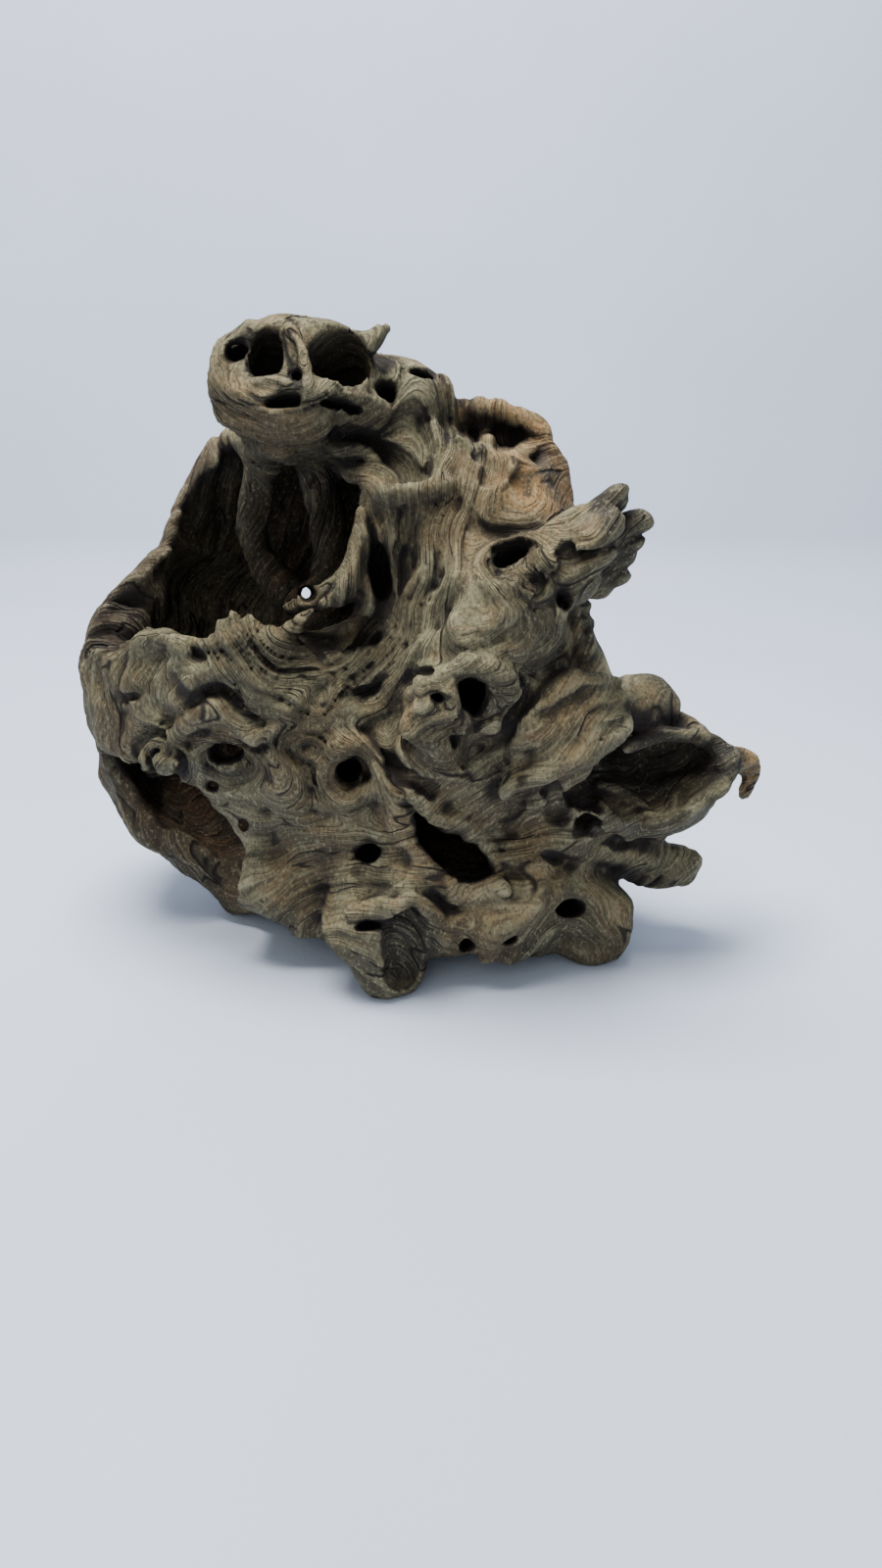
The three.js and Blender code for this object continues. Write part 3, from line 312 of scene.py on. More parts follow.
@dataclass(frozen=True)
class Trunk(Portion):
    """The hollow trunk: oval bodies, with the two windows that the front shows."""

    forms: tuple[Step, ...] = (
        add("left shell", 0, Oval((-91, 34, 98), (65, 60, 84), tilt=-4)),
        add("left shell upper", 14, Oval((-56, 38, 172), (62, 50, 60))),
        add("hub", 20, Oval((20, 6, 107), (54, 62, 84), tilt=12)),
        add("neck", 18, Oval((8, 10, 181), (44, 42, 56), tilt=-10)),
        add("shoulder", 14, Oval((34, 4, 190), (34, 38, 38), tilt=20)),
        add("belly", 14, Oval((29, 0, 34), (50, 54, 32), tilt=4)),
        add("right side", 14, Oval((60, -2, 82), (36, 40, 42))),
        add("low left", 14, Oval((-50, 10, 40), (46, 54, 32), tilt=10)),
        cut("window plane", 4, Slice((-0.51, -0.57, 0.65), 165, Oval((-100, 0, 204), (90, 110, 110)))),
        cut("left hollow", 3, Oval((-89, 31, 104), (55.5, 51, 74.5), tilt=-4)),
        cut("upper hollow", 3, Oval((-58, 27, 172), (52, 44, 51))),
        cut("window mouth", 4, bar((-66, -10, 190, 28), (-47, -6, 196, 28), (-41, 7, 186, 22))),
        cut("window mouth left", 4, bar((-72, -18, 173, 24), (-98, -10, 162, 22), (-118, 4, 152, 18))),
        cut("window side", 4, Slice(
            (0.08, -0.99, 0.13), -11, Oval((-106, 10, 191), (24, 40, 66), tilt=33))),
        cut("low window side", 4, Slice(
            (0.16, -0.97, 0.17), -21, Oval((-114, 5, 49), (18, 40, 50), tilt=-43))),
        cut("hub hollow", 5, Oval((24, 14, 70), (36, 42, 58), tilt=8)),
        cut("hub tunnel", 5, bar((-43, 37, 129, 24), (-5, 34, 105, 24), (28, 16, 66, 23))),
        cut("low window", 4, bar((-118, -26, 72, 15), (-103, -29, 62, 17), (-91, -25, 48, 13))),
        cut("low window b", 4, bar((-130, -12, 74, 10), (-112, -16, 66, 18), (-90, -16, 41, 18))),
    )


@dataclass(frozen=True)
class Crown(Portion):
    """The burl on top with its open cells, its neck and the strand that hangs from it."""

    forms: tuple[Step, ...] = (
        add("crown neck", 9, bar((6, 10, 207, 24), (-4, 11, 230, 19), (-24, 4, 242, 19))),
        add("crown", 8, Oval((-48, 2, 248), (38.5, 30, 24), tilt=8, lean=-28)),
        add("crown shoulder", 6, Oval((-4, 11, 246), (18, 20, 12), tilt=14)),
        add("strand", 5, bar(
            (-10, -7, 224, 9), (-16, -14, 204, 8), (-22, -23, 190, 5.5), (-27, -30, 178, 6),
            (-40, -36, 167, 5.5), (-50, -35, 160, 5), (-56, -34, 152, 5))),
        add("strand fork", 4, bar(
            (-22, -19, 194, 5), (-31, -24, 178, 5), (-42, -18, 168, 5), (-55, -11, 162, 4))),
    )
    details: tuple[Step, ...] = (
        cut("crown cut", 3, Slice((-0.12, -0.80, 0.59), 170.7, Oval((-41, -18, 252), (46, 34, 30)))),
        add("crown spur", 3, bar((-20, -4, 264, 5), (-14, -2, 268, 3.4), (-11, 1, 271, 2.2))),
        add("crown rim", 3, even(4, (-68, -1, 272), (-78, -6, 264), (-80, -10, 252), (-78, -8, 242))),
        add("crown brow", 3, even(3, (-63, -3, 270), (-50, -4, 272), (-32, -4, 268), (-21, 0, 264))),
        pit("crown hollow left", (-60, -4, 260), (7.4, 20, 9.8)),
        pit("crown hollow right", (-30, -8, 258), (13.7, 26, 10.8)),
        add("crown wall", 2, even(2.6, (-50, -8, 270), (-46, -14, 264), (-44, -19, 258))),
        add("crown wall left", 2, even(2.2, (-44, -18, 258), (-48, -20, 255), (-52, -22, 253))),
        add("crown wall right", 2, even(2.2, (-44, -18, 258), (-42, -22, 254), (-41, -24, 250))),
        pit("crown pit left", (-72, -4, 264), (4.1, 14, 3.7)),
        pit("crown pit low", (-47, -16, 253), (2.4, 14, 2.4)),
        add("crown ledge", 2, even(
            2.8, (-64, -16, 254), (-55, -18, 254), (-42, -23, 248), (-30, -21, 246), (-18, -16, 246),
            (-11, -12, 242))),
        pit("crown slot", (-52, -18, 244), (8.4, 14, 3.2)),
        pit("crown slot right", (-30, -16, 242), (9.7, 10, 2), tilt=6),
        pit("crown pit right", (-10, -5, 248), (4.5, 18, 4.9)),
        pit("crown pit far", (4, 4, 253), (3.7, 14, 2.5)),
        add("crown lip", 3, even(4.5, (-76, -10, 240), (-64, -13, 236), (-50, -18, 235), (-36, -19, 236))),
        add("crown lip low", 3, even(
            5, (-75, 34, 222), (-56, -10, 228), (-44, 52, 210), (-24, -5, 218), (-12, -23, 208),
            (0, -28, 209), (10, -27, 212))),
        cut("crown recess", 2, even(6, (-31, -13, 230), (-18, -13, 229), (-8, -18, 224), (-2, -22, 218))),
        add("strand edge", 3, even(
            3.4, (-20, -22, 201), (-24, -28, 190), (-28, -35, 180), (-32, -36, 175))),
        add("strand heel", 3, bar((-26, -25, 182, 4.5), (-22, -28, 174, 4), (-20, -30, 164, 3.6))),
    )


@dataclass(frozen=True)
class Branch(Portion):
    """The short branch with its broken fingers."""

    forms: tuple[Step, ...] = (
        add("branch", 16, bar(
            (12, -52, 136, 17), (28, -46, 156, 16), (50, -44, 173, 14), (68, -37, 188, 12),
            (78, -34, 194, 9))),
        add("branch root", 16, Oval((23, -35, 160), (26, 14, 22), tilt=-40)),
    )
    details: tuple[Step, ...] = (
        add("finger 1", 1.5, bar((59, -38, 193, 7.2), (69, -40, 203, 6.8), (78, -39, 210, 6.4))),
        add("finger 2", 1.5, bar((58, -47, 186, 7), (66, -48, 196, 6.6), (76, -47, 203, 6.2))),
        add("finger 3", 1.5, bar((75, -32, 196, 6.2), (82, -36, 198, 5.8), (88, -35, 200, 5.4))),
        add("finger 4", 1.5, bar((71, -30, 188, 6.2), (78, -32, 192, 5.8), (86, -32, 193, 5.4))),
        add("finger 5", 1.5, bar((70, -28, 184, 6.2), (77, -29, 186, 5.8), (84, -28, 186, 5.4))),
        add("finger 6", 1.5, bar((67, -28, 176, 6), (74, -28, 178, 5.6), (82, -28, 177, 5.2))),
        add("finger 7", 1.5, bar((62, -46, 178, 6.4), (68, -46, 185, 6), (74, -46, 190, 5.6))),
        add("finger 8", 1.5, bar((64, -27, 171, 6.2), (70, -28, 172, 5.8), (76, -28, 172, 5.4))),
        add("finger 9", 1.5, bar((60, -42, 170, 6.4), (66, -42, 174, 6), (70, -40, 180, 5.6))),
        cut("branch furrow", 2, even(2.2, (42, -58, 164), (51, -58, 175), (58, -54, 184), (68, -50, 192))),
        cut("branch furrow low", 2, even(2.2, (42, -57, 158), (53, -57, 170), (61, -54, 178))),
        cut("branch furrow high", 2, even(2, (48, -56, 179), (58, -53, 188), (70, -47, 197))),
    )


@dataclass(frozen=True)
class Knuckle(Portion):
    """The folded knuckle on the right, its dark neck and its loose splinter."""

    forms: tuple[Step, ...] = (
        add("knuckle", 8, Oval((66, -34, 118), (23, 20, 18), tilt=-12)),
        add("knuckle fold 1", 2, bar((43, -47, 124, 9), (62, -45, 134, 8), (80, -39, 132, 6))),
        add("knuckle fold 2", 2, bar((43, -52, 115, 8), (62, -48, 124, 7), (85, -38, 125, 5.5))),
        add("knuckle fold 3", 2, bar((43, -52, 102, 9), (60, -50, 114, 8), (85, -38, 118, 5.5))),
        add("knuckle fold 4", 2, bar((51, -44, 94, 9), (66, -43, 106, 7), (80, -34, 112, 5))),
        add("splinter", 1, bar((82, -34, 111, 2.4), (92, -33, 111, 2.6), (103, -32, 110, 1.2))),
        add("dark neck", 6, bar((61, -16, 167, 9), (62, -16, 148, 9.5), (69, -20, 131, 9.5))),
        add("knuckle root", 9, bar((64, -10, 124, 20), (80, -6, 104, 18), (96, -5, 92, 17))),
    )
    details: tuple[Step, ...] = (
        add("neck knob 1", 2, even(4, (64, -24, 162), (67, -20, 162))),
        add("neck knob 2", 2, even(4, (66, -24, 154), (68, -21, 154))),
        add("neck knob 3", 2, even(4, (65, -26, 148), (68, -24, 148))),
        add("neck knob 4", 2, even(4, (68, -27, 142), (70, -24, 142))),
        cut("neck furrow", 2, even(3.4, (60, -54, 173), (57, -42, 156), (56, -39, 145))),
        cut("knuckle crease 1", 2, even(2.8, (65, -52, 134), (74, -48, 134), (84, -42, 132))),
        cut("knuckle crease 2", 2, even(2.8, (49, -56, 128), (60, -54, 132), (68, -51, 131))),
        cut("knuckle crease 3", 2, even(2.8, (70, -52, 126), (80, -47, 125), (88, -42, 125))),
        cut("knuckle crease 4", 2, even(2.8, (75, -52, 120), (86, -44, 119))),
    )


@dataclass(frozen=True)
class Scoop(Portion):
    """The charred scoop, its lid and the bark fragment behind its tip."""

    forms: tuple[Step, ...] = (
        add("scoop", 9, bar((78, -14, 86, 25), (106, -12, 90, 21), (124, -10, 91, 16), (137, -9, 90, 8))),
        add("scoop belly", 8, Oval((105, -10, 76), (27, 25, 18), tilt=-22)),
        add("scoop lid", 5, Oval((102, -5, 114), (13, 15, 9), tilt=20)),
        cut("scoop hollow", 3, bar(
            (80, -32, 93, 15), (96, -32, 95, 18.5), (116, -27, 94, 13.5), (127, -22, 94, 7))),
        cut("scoop dark", 3, bar((86, -14, 96, 9), (104, -14, 94, 9.5), (122, -14, 94, 7))),
        add("fragment", 3, bar((138, 3, 90, 5), (147, 11, 80, 6), (153, 14, 73, 4.5), (150, 12, 65, 3))),
    )
    details: tuple[Step, ...] = (
        add("scoop lip", 3, even(
            3.4, (90, -22, 103), (104, -20, 106), (119, -19, 107), (134, -12, 100), (138, -16, 96),
            (136, -20, 90))),
        add("scoop lip low", 3, even(
            3.4, (132, -23, 86), (122, -30, 82), (116, -34, 77), (111, -7, 54), (96, -16, 50))),
        add("scoop fold 1", 2, even(3, (78, -20, 84), (92, -22, 80), (101, -30, 76))),
        add("scoop fold 2", 2, even(3, (76, -26, 79), (82, -36, 78), (94, -24, 61))),
        add("lobe", 3, bar((90, -16, 123, 9), (103, -12, 120, 9), (111, -12, 115, 6))),
    )


@dataclass(frozen=True)
class Feet(Portion):
    """What the wood stands on: plate, feet and bottom rim."""

    forms: tuple[Step, ...] = (
        add("plate", 6, Oval((108, 0, 38), (25, 10, 12), tilt=10)),
        add("plate root", 9, bar((75, -8, 55, 16), (102, -2, 42, 12))),
        add("right foot", 9, bar(
            (63, -22, 37, 20), (84, -23, 24, 16), (82, -22, 13, 14), (76, -24, 10, 12))),
        add("front foot", 8, bar((-12, -41, 48, 21), (-16, -51, 30, 21), (-16, -51, 16, 18.5))),
        add("bottom rim", 8, even(14, (7, -38, 28), (54, -32, 16))),
        add("left foot", 10, Oval((-79, 26, 6), (20, 17, 13))),
    )
    details: tuple[Step, ...] = (
        pit("low right pit", (70, -38, 34), (8.2, 18, 4.3)),
        pit("low pit 1", (22, -46, 20), (4.7, 12, 3)),
        pit("low pit 2", (42, -50, 26), (3.4, 12, 3.4)),
        pit("low slot", (-20, -66, 37), (4.9, 10, 2.5)),
        add("gnarl 1", 2, even(4.5, (-24, -64, 43), (-16, -64, 46), (-11, -66, 44), (-5, -62, 46))),
        add("gnarl 2", 3, even(5, (-1, -61, 41), (5, -52, 34), (8, -50, 26), (4, -50, 22))),
        add("gnarl 3", 3, even(5, (12, -49, 34), (28, -52, 34), (34, -52, 27), (34, -46, 12))),
        add("gnarl 4", 3, even(5, (44, -46, 12), (52, -46, 17), (58, -44, 26))),
        cut("foot hollow", 2, bar((-8, -64, 37, 7.5), (-6, -65, 26, 10), (-9, -63, 13, 9))),
        cut("foot crack", 2, even(1.6, (-14, -70, 36), (-14, -70, 22), (-16, -67, 8))),
    )


@dataclass(frozen=True)
class Shell(Portion):
    """The left shell's front wall and edges, and the pillars seen through its window."""

    forms: tuple[Step, ...] = (
        add("top ridge", 7, bar(
            (2, 10, 248, 6), (18, 12, 242, 6), (38, 14, 234, 5), (54, 14, 224, 5), (60, 8, 212, 5),
            (64, -2, 202, 5))),
        add("bridge back", 4, bar((-48, -12, 146, 8), (-34, -11, 148, 9), (-15, -15, 149, 8))),
        add("low shell rim", 6, bar(
            (-148, 22, 81, 5), (-148, 27, 66, 5), (-143, 28, 49, 5), (-128, 28, 35, 5), (-108, 20, 20, 5),
            (-77, 10, 8, 6), (-48, 2, 14, 8))),
        add("left bulge", 8, bar(
            (-122, 34, 160, 5), (-130, 24, 142, 7), (-140, 12, 120, 8), (-141, 9, 96, 6))),
        add("front plate", 6, Oval((-65, -30, 124), (34, 9, 36), turn=-14)),
        add("front plate left", 6, Oval((-110, -13, 117), (36, 9, 34), turn=-34)),
        add("front plate low", 6, Oval((-58, -25, 82), (30, 10, 34), turn=-10)),
        add("bridge", 10, Oval((-30, -30, 120), (30, 13, 26), tilt=-40)),
        add("bridge low", 10, Oval((-28, -33, 84), (34, 12, 36))),
        add("left front edge", 4, bar(
            (-56, -34, 152, 4), (-63, -34, 153, 3.5), (-86, -29, 148, 3.5), (-106, -20, 146, 3.5),
            (-120, -11, 142, 3.5), (-134, 4, 133, 3.5), (-143, 15, 131, 4))),
    )
    details: tuple[Step, ...] = (
        pit("recess tall", (-14, -22, 177), (5.2, 14, 12.9)),
        pit("recess low", (-36, -36, 162), (10.5, 8, 6.5), tilt=-14),
        pit("left pit", (-77, -30, 106), (7.5, 16, 5.4)),
        pit("left pit b", (-87, -24, 82), (2.2, 9, 2.6)),
        pit("eye", (-110, -22, 98), (4.3, 8, 3.9)),
        add("eye ball", 1.5, even(4.4, (-108, -26, 96), (-108, -26, 94))),
        add("eye rim", 2, even(
            2.4, (-102, -26, 98), (-106, -24, 92), (-129, 52, 61), (-119, -18, 90), (-118, -20, 98),
            (-112, -23, 104), (-105, -26, 103), (-102, -26, 98))),
        cut("arch 1", 2, even(
            3.8, (-108, -26, 114), (-94, -34, 124), (-88, -33, 132), (-79, -34, 136), (-66, -38, 132),
            (-58, -41, 122), (-54, -42, 112))),
        cut("arch 2", 2, even(
            3.2, (-97, -30, 105), (-84, -35, 120), (-73, -36, 122), (-66, -38, 112), (-52, -42, 114),
            (-46, -44, 126), (-36, -44, 134))),
        cut("arch 3", 2, even(2.4, (-134, -9, 120), (-118, -20, 126), (-106, -28, 128), (-98, -30, 136))),
        add("arch ridge", 3, even(
            4.5, (-99, -29, 124), (-88, -30, 136), (-76, -32, 140), (-65, -37, 135), (-56, -38, 125))),
        add("arch ridge low", 3, even(
            4.5, (-103, -26, 107), (-86, -32, 124), (-73, -34, 126), (-64, -37, 118), (-54, -40, 116),
            (-48, -41, 129))),
        add("pillar", 5, bar(
            (-58, 12, 228, 9), (-68, 23, 214, 8), (-75, 32, 194, 7), (-72, 40, 168, 7), (-63, 43, 155, 9),
            (-44, 36, 149, 9))),
        add("pillar b", 5, even(8, (-45, 15, 224), (-44, 25, 201), (-42, 34, 176), (-44, 35, 157))),
        cut("light gap", 2, even(
            3.4, (-45, -34, 174), (-44, -14, 170), (-48, 2, 166), (-51, 22, 161), (-52, 43, 155),
            (-52, 60, 149), (-54, 76, 142), (-57, 94, 141), (-61, 112, 138))),
    )


@dataclass(frozen=True)
class Back(Portion):
    """The side away from the front: roots, ridges, openings and a knot."""

    forms: tuple[Step, ...] = (
        add("back root", 14, bar(
            (48, 60, 8, 17), (34, 60, 44, 19), (4, 66, 90, 17), (-26, 76, 140, 13), (-44, 74, 190, 10))),
        add("back root right", 14, bar(
            (92, 12, 50, 14), (60, 34, 80, 15), (36, 42, 130, 14), (32, 32, 176, 13), (20, 26, 214, 12))),
        add("back ridge", 10, bar(
            (-126, 62, 50, 9), (-118, 84, 96, 9), (-98, 92, 140, 8), (-74, 84, 188, 8), (-50, 66, 222, 8))),
        add("back ridge low", 10, bar((-60, 80, 30, 9), (-92, 92, 64, 8), (-130, 74, 104, 7))),
        add("back strut", 10, even(14, (-60, 62, 20), (-20, 64, 24), (24, 58, 14))),
        cut("back opening", 5, Oval((14, 50, 116), (15, 26, 22), tilt=25)),
        cut("back opening low", 5, Oval((-10, 72, 46), (12, 20, 9), tilt=-20)),
        add("back knot", 4, even(
            6, (-67, 92, 70), (-74, 92, 82), (-88, 92, 84), (-100, 92, 76), (-100, 92, 64), (-88, 92, 56),
            (-74, 92, 58), (-67, 92, 70))),
        cut("back knot hole", 3, Oval((-84, 96, 70), (8, 20, 7))),
    )


@dataclass(frozen=True)
class Face(Portion):
    """The front's holes, rims, folds and cracks."""

    details: tuple[Step, ...] = (
        add("recess lip upper", 2, even(
            3.5, (-33, -8, 226), (-20, -12, 226), (-13, -16, 218), (-8, -19, 211))),
        add("shoulder fold", 3, even(4, (8, -6, 235), (8, -15, 224), (12, -25, 213))),
        add("amber crest", 3, even(4, (27, 10, 244), (36, 10, 242), (46, 10, 237), (55, 9, 230))),
        cut("amber undercut", 2, even(4.5, (38, 9, 233), (48, 8, 230), (53, -4, 224))),
        add("amber flap", 3, even(4, (56, 9, 227), (62, 6, 218), (62, 2, 210))),
        add("amber ridge", 2, even(3.4, (52, 10, 229), (40, -18, 219), (34, -26, 212))),
        add("amber ridge b", 2, even(3.4, (19, -8, 230), (27, 19, 230), (34, 4, 230))),
        cut("amber hollow", 2, even(5, (28, -14, 226), (32, -20, 221), (30, -26, 215))),
        cut("shoulder crack", 2, even(2.4, (18, -30, 204), (26, -35, 196), (36, -36, 192), (52, -34, 196))),
        pit("middle hole", (24, -54, 136), (8.7, 36, 7.2), tilt=-10),
        pit("middle hole low", (25, -54, 128), (3.4, 30, 3.8)),
        pit("middle pit", (9, -61, 136), (4.2, 16, 3.8)),
        add("middle pit rim", 2, even(
            3.6, (2, -64, 141), (8, -65, 142), (13, -68, 140), (13, -68, 134), (8, -67, 131),
            (3, -66, 134))),
        add("knot lump", 4, even(7, (1, -62, 126), (6, -61, 122), (10, -56, 112))),
        add("knot lump b", 3, even(6, (0, -52, 112), (6, -54, 106), (15, -55, 104))),
        pit("knot pit", (0, -55, 122), (1.9, 8, 1.9)),
        cut("knot crack", 2, even(2, (4, -54, 110), (8, -59, 118), (15, -60, 120), (20, -60, 120))),
        cut("knot crack b", 2, even(1.8, (9, -56, 116), (10, -56, 108), (15, -56, 106))),
        add("middle brow", 3, even(
            5, (9, -64, 145), (20, -64, 152), (32, -62, 149), (33, -58, 138), (29, -58, 125))),
        pit("crater", (-28, -34, 94), (6.5, 28, 6.5)),
        add("crater rim", 2, even(5.2, (-34, -46, 107), (-24, -45, 111), (-15, -46, 107), (-12, -48, 100))),
        add("crater rim low", 2, even(
            4.4, (-16, -48, 92), (-24, -46, 87), (-32, -45, 86), (-38, -44, 90), (-38, -46, 100))),
        add("crater knobs", 2, even(4.5, (-30, -44, 86), (-36, -44, 82), (-41, -42, 79))),
        cut("low hole", 3, Limb((
            (-1, -34, 79, 4), (4, -36, 68, 7), (12, -32, 57, 9), (30, -28, 49, 6)), 4.5)),
        cut("low hole right", 3, Limb(((11, -34, 64, 6), (21, -33, 60, 7), (32, -28, 49, 6)), 4.5)),
        add("strap", 3, even(
            5.6, (-10, -48, 94), (-6, -48, 77), (0, -51, 62), (8, -51, 50), (22, -48, 46), (35, -48, 50))),
        add("right of strap", 3, even(
            7, (45, -36, 60), (52, -37, 52), (50, -45, 42), (40, -50, 36), (30, -51, 30))),
        add("low hole brow", 3, even(
            4.5, (0, -52, 91), (11, -54, 82), (20, -54, 82), (33, -43, 66), (38, -40, 56))),
        add("flake", 1, even(3, (40, -38, 61), (37, -42, 54), (34, -46, 50))),
        pit("high hole", (42, -40, 183), (7, 18, 4.3), tilt=-28),
        add("high hole lip", 2, even(
            4, (32, -44, 184), (30, -50, 179), (32, -54, 175), (38, -56, 176), (45, -53, 181),
            (53, -53, 186))),
        pit("low dimple", (-19, -44, 62), (5.4, 16, 3.7), tilt=-20),
        cut("low valley", 2, even(5, (-24, -54, 58), (-15, -60, 58), (-6, -56, 62))),
        cut("slot", 2, even(2.8, (54, -50, 96), (58, -50, 92), (62, -40, 78))),
        cut("side recess", 2, even(4.5, (66, -42, 91), (73, -29, 80), (72, -41, 75))),
        cut("side slot", 2, even(2.8, (69, -40, 72), (74, -39, 73), (82, -30, 65))),
        cut("crack 1", 2, even(3, (-46, -44, 108), (-38, -44, 114), (-24, -42, 120))),
        cut("crack 1b", 2, even(3, (-28, -44, 129), (-16, -40, 132), (-8, -45, 137), (5, -62, 145))),
        cut("crack 2", 2, even(3.2, (24, -56, 112), (35, -54, 120), (42, -52, 132), (46, -52, 146))),
        cut("crack 3", 2, even(
            3, (50, -58, 174), (46, -58, 168), (40, -59, 162), (35, -60, 161), (26, -59, 165))),
        cut("crack 4", 2, even(
            3, (-28, -44, 111), (-16, -44, 108), (-8, -48, 105), (-2, -52, 99), (7, -54, 94))),
        cut("crack 5", 2, even(
            1.8, (-105, -24, 148), (-108, -24, 132), (-106, -27, 121), (-106, -24, 107))),
        cut("crack 7", 2, even(2.8, (-100, 50, 38), (-72, -29, 66), (-62, -34, 70))),
        cut("crack 8", 2, even(3, (50, -57, 163), (45, -54, 150), (35, -57, 142), (34, -54, 130))),
        cut("crack 9", 2, even(3, (46, -60, 114), (42, -60, 100), (47, -47, 84), (46, -40, 70))),
        cut("crack 10", 2, even(3, (-11, -34, 148), (2, -46, 158), (14, -56, 162), (24, -56, 168))),
        add("flow ridge 1", 4, even(
            5, (-48, -40, 110), (-28, -40, 120), (-9, -40, 130), (1, -48, 151), (21, -56, 162),
            (37, -56, 169))),
        add("flow ridge 2", 4, even(5, (-8, -28, 157), (4, -38, 173), (10, -29, 189), (4, -24, 204))),
        add("flow ridge 3", 4, even(5, (40, -56, 99), (54, -56, 109), (70, -50, 113))),
        add("flow ridge 4", 4, even(5, (49, -36, 62), (62, -37, 66), (76, -27, 56), (96, -14, 46))),
        add("flow ridge 5", 4, even(5, (-36, -33, 143), (-14, -32, 146), (2, -42, 160), (18, -46, 174))),
    )


# Whole numbers that scatter the place of a lattice's corner, and a seed, over all 32 bits
CORNER_STEPS = (374761393, 668265263, 1440662683)
SEED_STEP = 974634777
SCATTER = 1274126177
WORD = 2**32


def lattice(i: np.ndarray, j: np.ndarray, k: np.ndarray, seed: int) -> np.ndarray:
    """A random value from -1 to 1 for each corner of a lattice, the same on every run.

    Args:
        i: The corners' first whole numbers.
        j: Their second whole numbers.
        k: Their third whole numbers.
        seed: Which set of values to take.

    Returns:
        The value at each corner.
    """
    step_i, step_j, step_k = (np.uint32(step) for step in CORNER_STEPS)
    n = i * step_i + j * step_j + k * step_k
    n = n + np.uint32(seed * SEED_STEP % WORD)
    n = (n ^ (n >> np.uint32(13))) * np.uint32(SCATTER)
    n = n ^ (n >> np.uint32(16))
    return n.astype(np.float32) / np.float32(WORD // 2) - 1


def wave(at: np.ndarray, seed: int) -> np.ndarray:
    """A smooth random wave about one unit long.

    Args:
        at: The points, in units of the wave's length.
        seed: Which wave to take.

    Returns:
        The wave's value at each point, from -1 to 1.
    """
    floor = np.floor(at)
    ease = eased(at - floor)
    first = floor.astype(np.int64).astype(np.uint32)
    total = np.zeros(len(at), np.float32)
    for corner in range(8):
        step = np.array((corner & 1, corner >> 1 & 1, corner >> 2), np.uint32)
        weight = np.where(step, ease, 1 - ease).prod(1)
        total += weight * lattice(*(first + step).T, seed)
    return total


@dataclass(frozen=True)
class Wave:
    """A random wave: its height and length in millimetres, and its seed."""

    height: float
    length: float
    seed: int


@dataclass(frozen=True)
class Flow:
    """A place where the growth lines run one way.

    Attributes:
        at: The middle of the place.
        across: The direction across the lines.
        reach: How far it reaches.
    """

    at: Vec3
    across: Vec3
    reach: float


@dataclass(frozen=True)
class Knot:
    """A place that the growth lines run round in rings, and how far they do."""

    at: Vec3
    reach: float


FLOWS: tuple[Flow, ...] = (
    Flow((12, 0, 96), (-0.57, 0.1, 0.82), 46),
    Flow((40, 0, 60), (-0.5, 0.1, 0.86), 40),
    Flow((-95, -10, 104), (0.12, 0.25, 1), 44),
    Flow((-60, -20, 60), (-0.35, 0.2, 0.92), 34),
    Flow((-5, 0, 185), (1, 0.15, 0.1), 30),
    Flow((45, 0, 168), (-0.75, 0.1, 0.66), 26),
    Flow((62, -38, 172), (-0.68, 0, 0.73), 30),
    Flow((36, -44, 150), (-0.66, 0, 0.75), 26),
    Flow((-24, -22, 176), (0.95, 0.1, -0.28), 20),
    Flow((-44, -34, 158), (0.75, 0.1, -0.65), 18),
    Flow((-70, 44, 196), (1, 0.3, 0), 34),
    Flow((-96, 44, 140), (1, 0.5, 0), 32),
    Flow((80, -10, 84), (-0.35, 0.1, 0.94), 30),
    Flow((90, -10, 40), (-0.2, 0.1, 0.98), 26),
    Flow((-8, -50, 20), (1, -0.3, 0.1), 24),
    Flow((60, -25, 14), (0.9, -0.3, 0.3), 24),
    Flow((-58, -20, 248), (0.1, -0.8, 0.6), 22),
    Flow((-90, 60, 110), (0.8, 0.5, 0.1), 40),
    Flow((-60, 70, 180), (0.9, 0.3, 0.1), 36),
    Flow((20, 80, 120), (-0.4, 0.2, 0.9), 50),
    Flow((20, 80, 40), (0.2, 0.1, 1), 40),
)

KNOTS: tuple[Knot, ...] = (
    Knot((-29, -46, 96), 15),
    Knot((-110, -22, 98), 12),
    Knot((-77, -32, 100), 12),
    Knot((24, -52, 137), 14),
    Knot((8, -60, 120), 10),
    Knot((-40, -44, 128), 8),
    Knot((-44, -46, 106), 8),
    Knot((42, -48, 180), 10),
    Knot((-84, 92, 70), 20),
)


@dataclass(frozen=True)
class Ridge:
    """Ridges along the growth lines.

    Attributes:
        height: How high they stand.
        spacing: How far apart they lie.
        stretch: How often they break off along the lines.
        seed: Which set of ridges to take.
    """

    height: float
    spacing: float
    stretch: float
    seed: int


@dataclass(frozen=True)
class Relief:
    """A set of ridges that are raised together.

    Attributes:
        ridges: The ridges, from the widest to the finest.
        base: What is taken off, so that the ridges lie about the smooth surface.
        floor: The deepest trough.
    """

    ridges: tuple[Ridge, ...]
    base: float
    floor: float


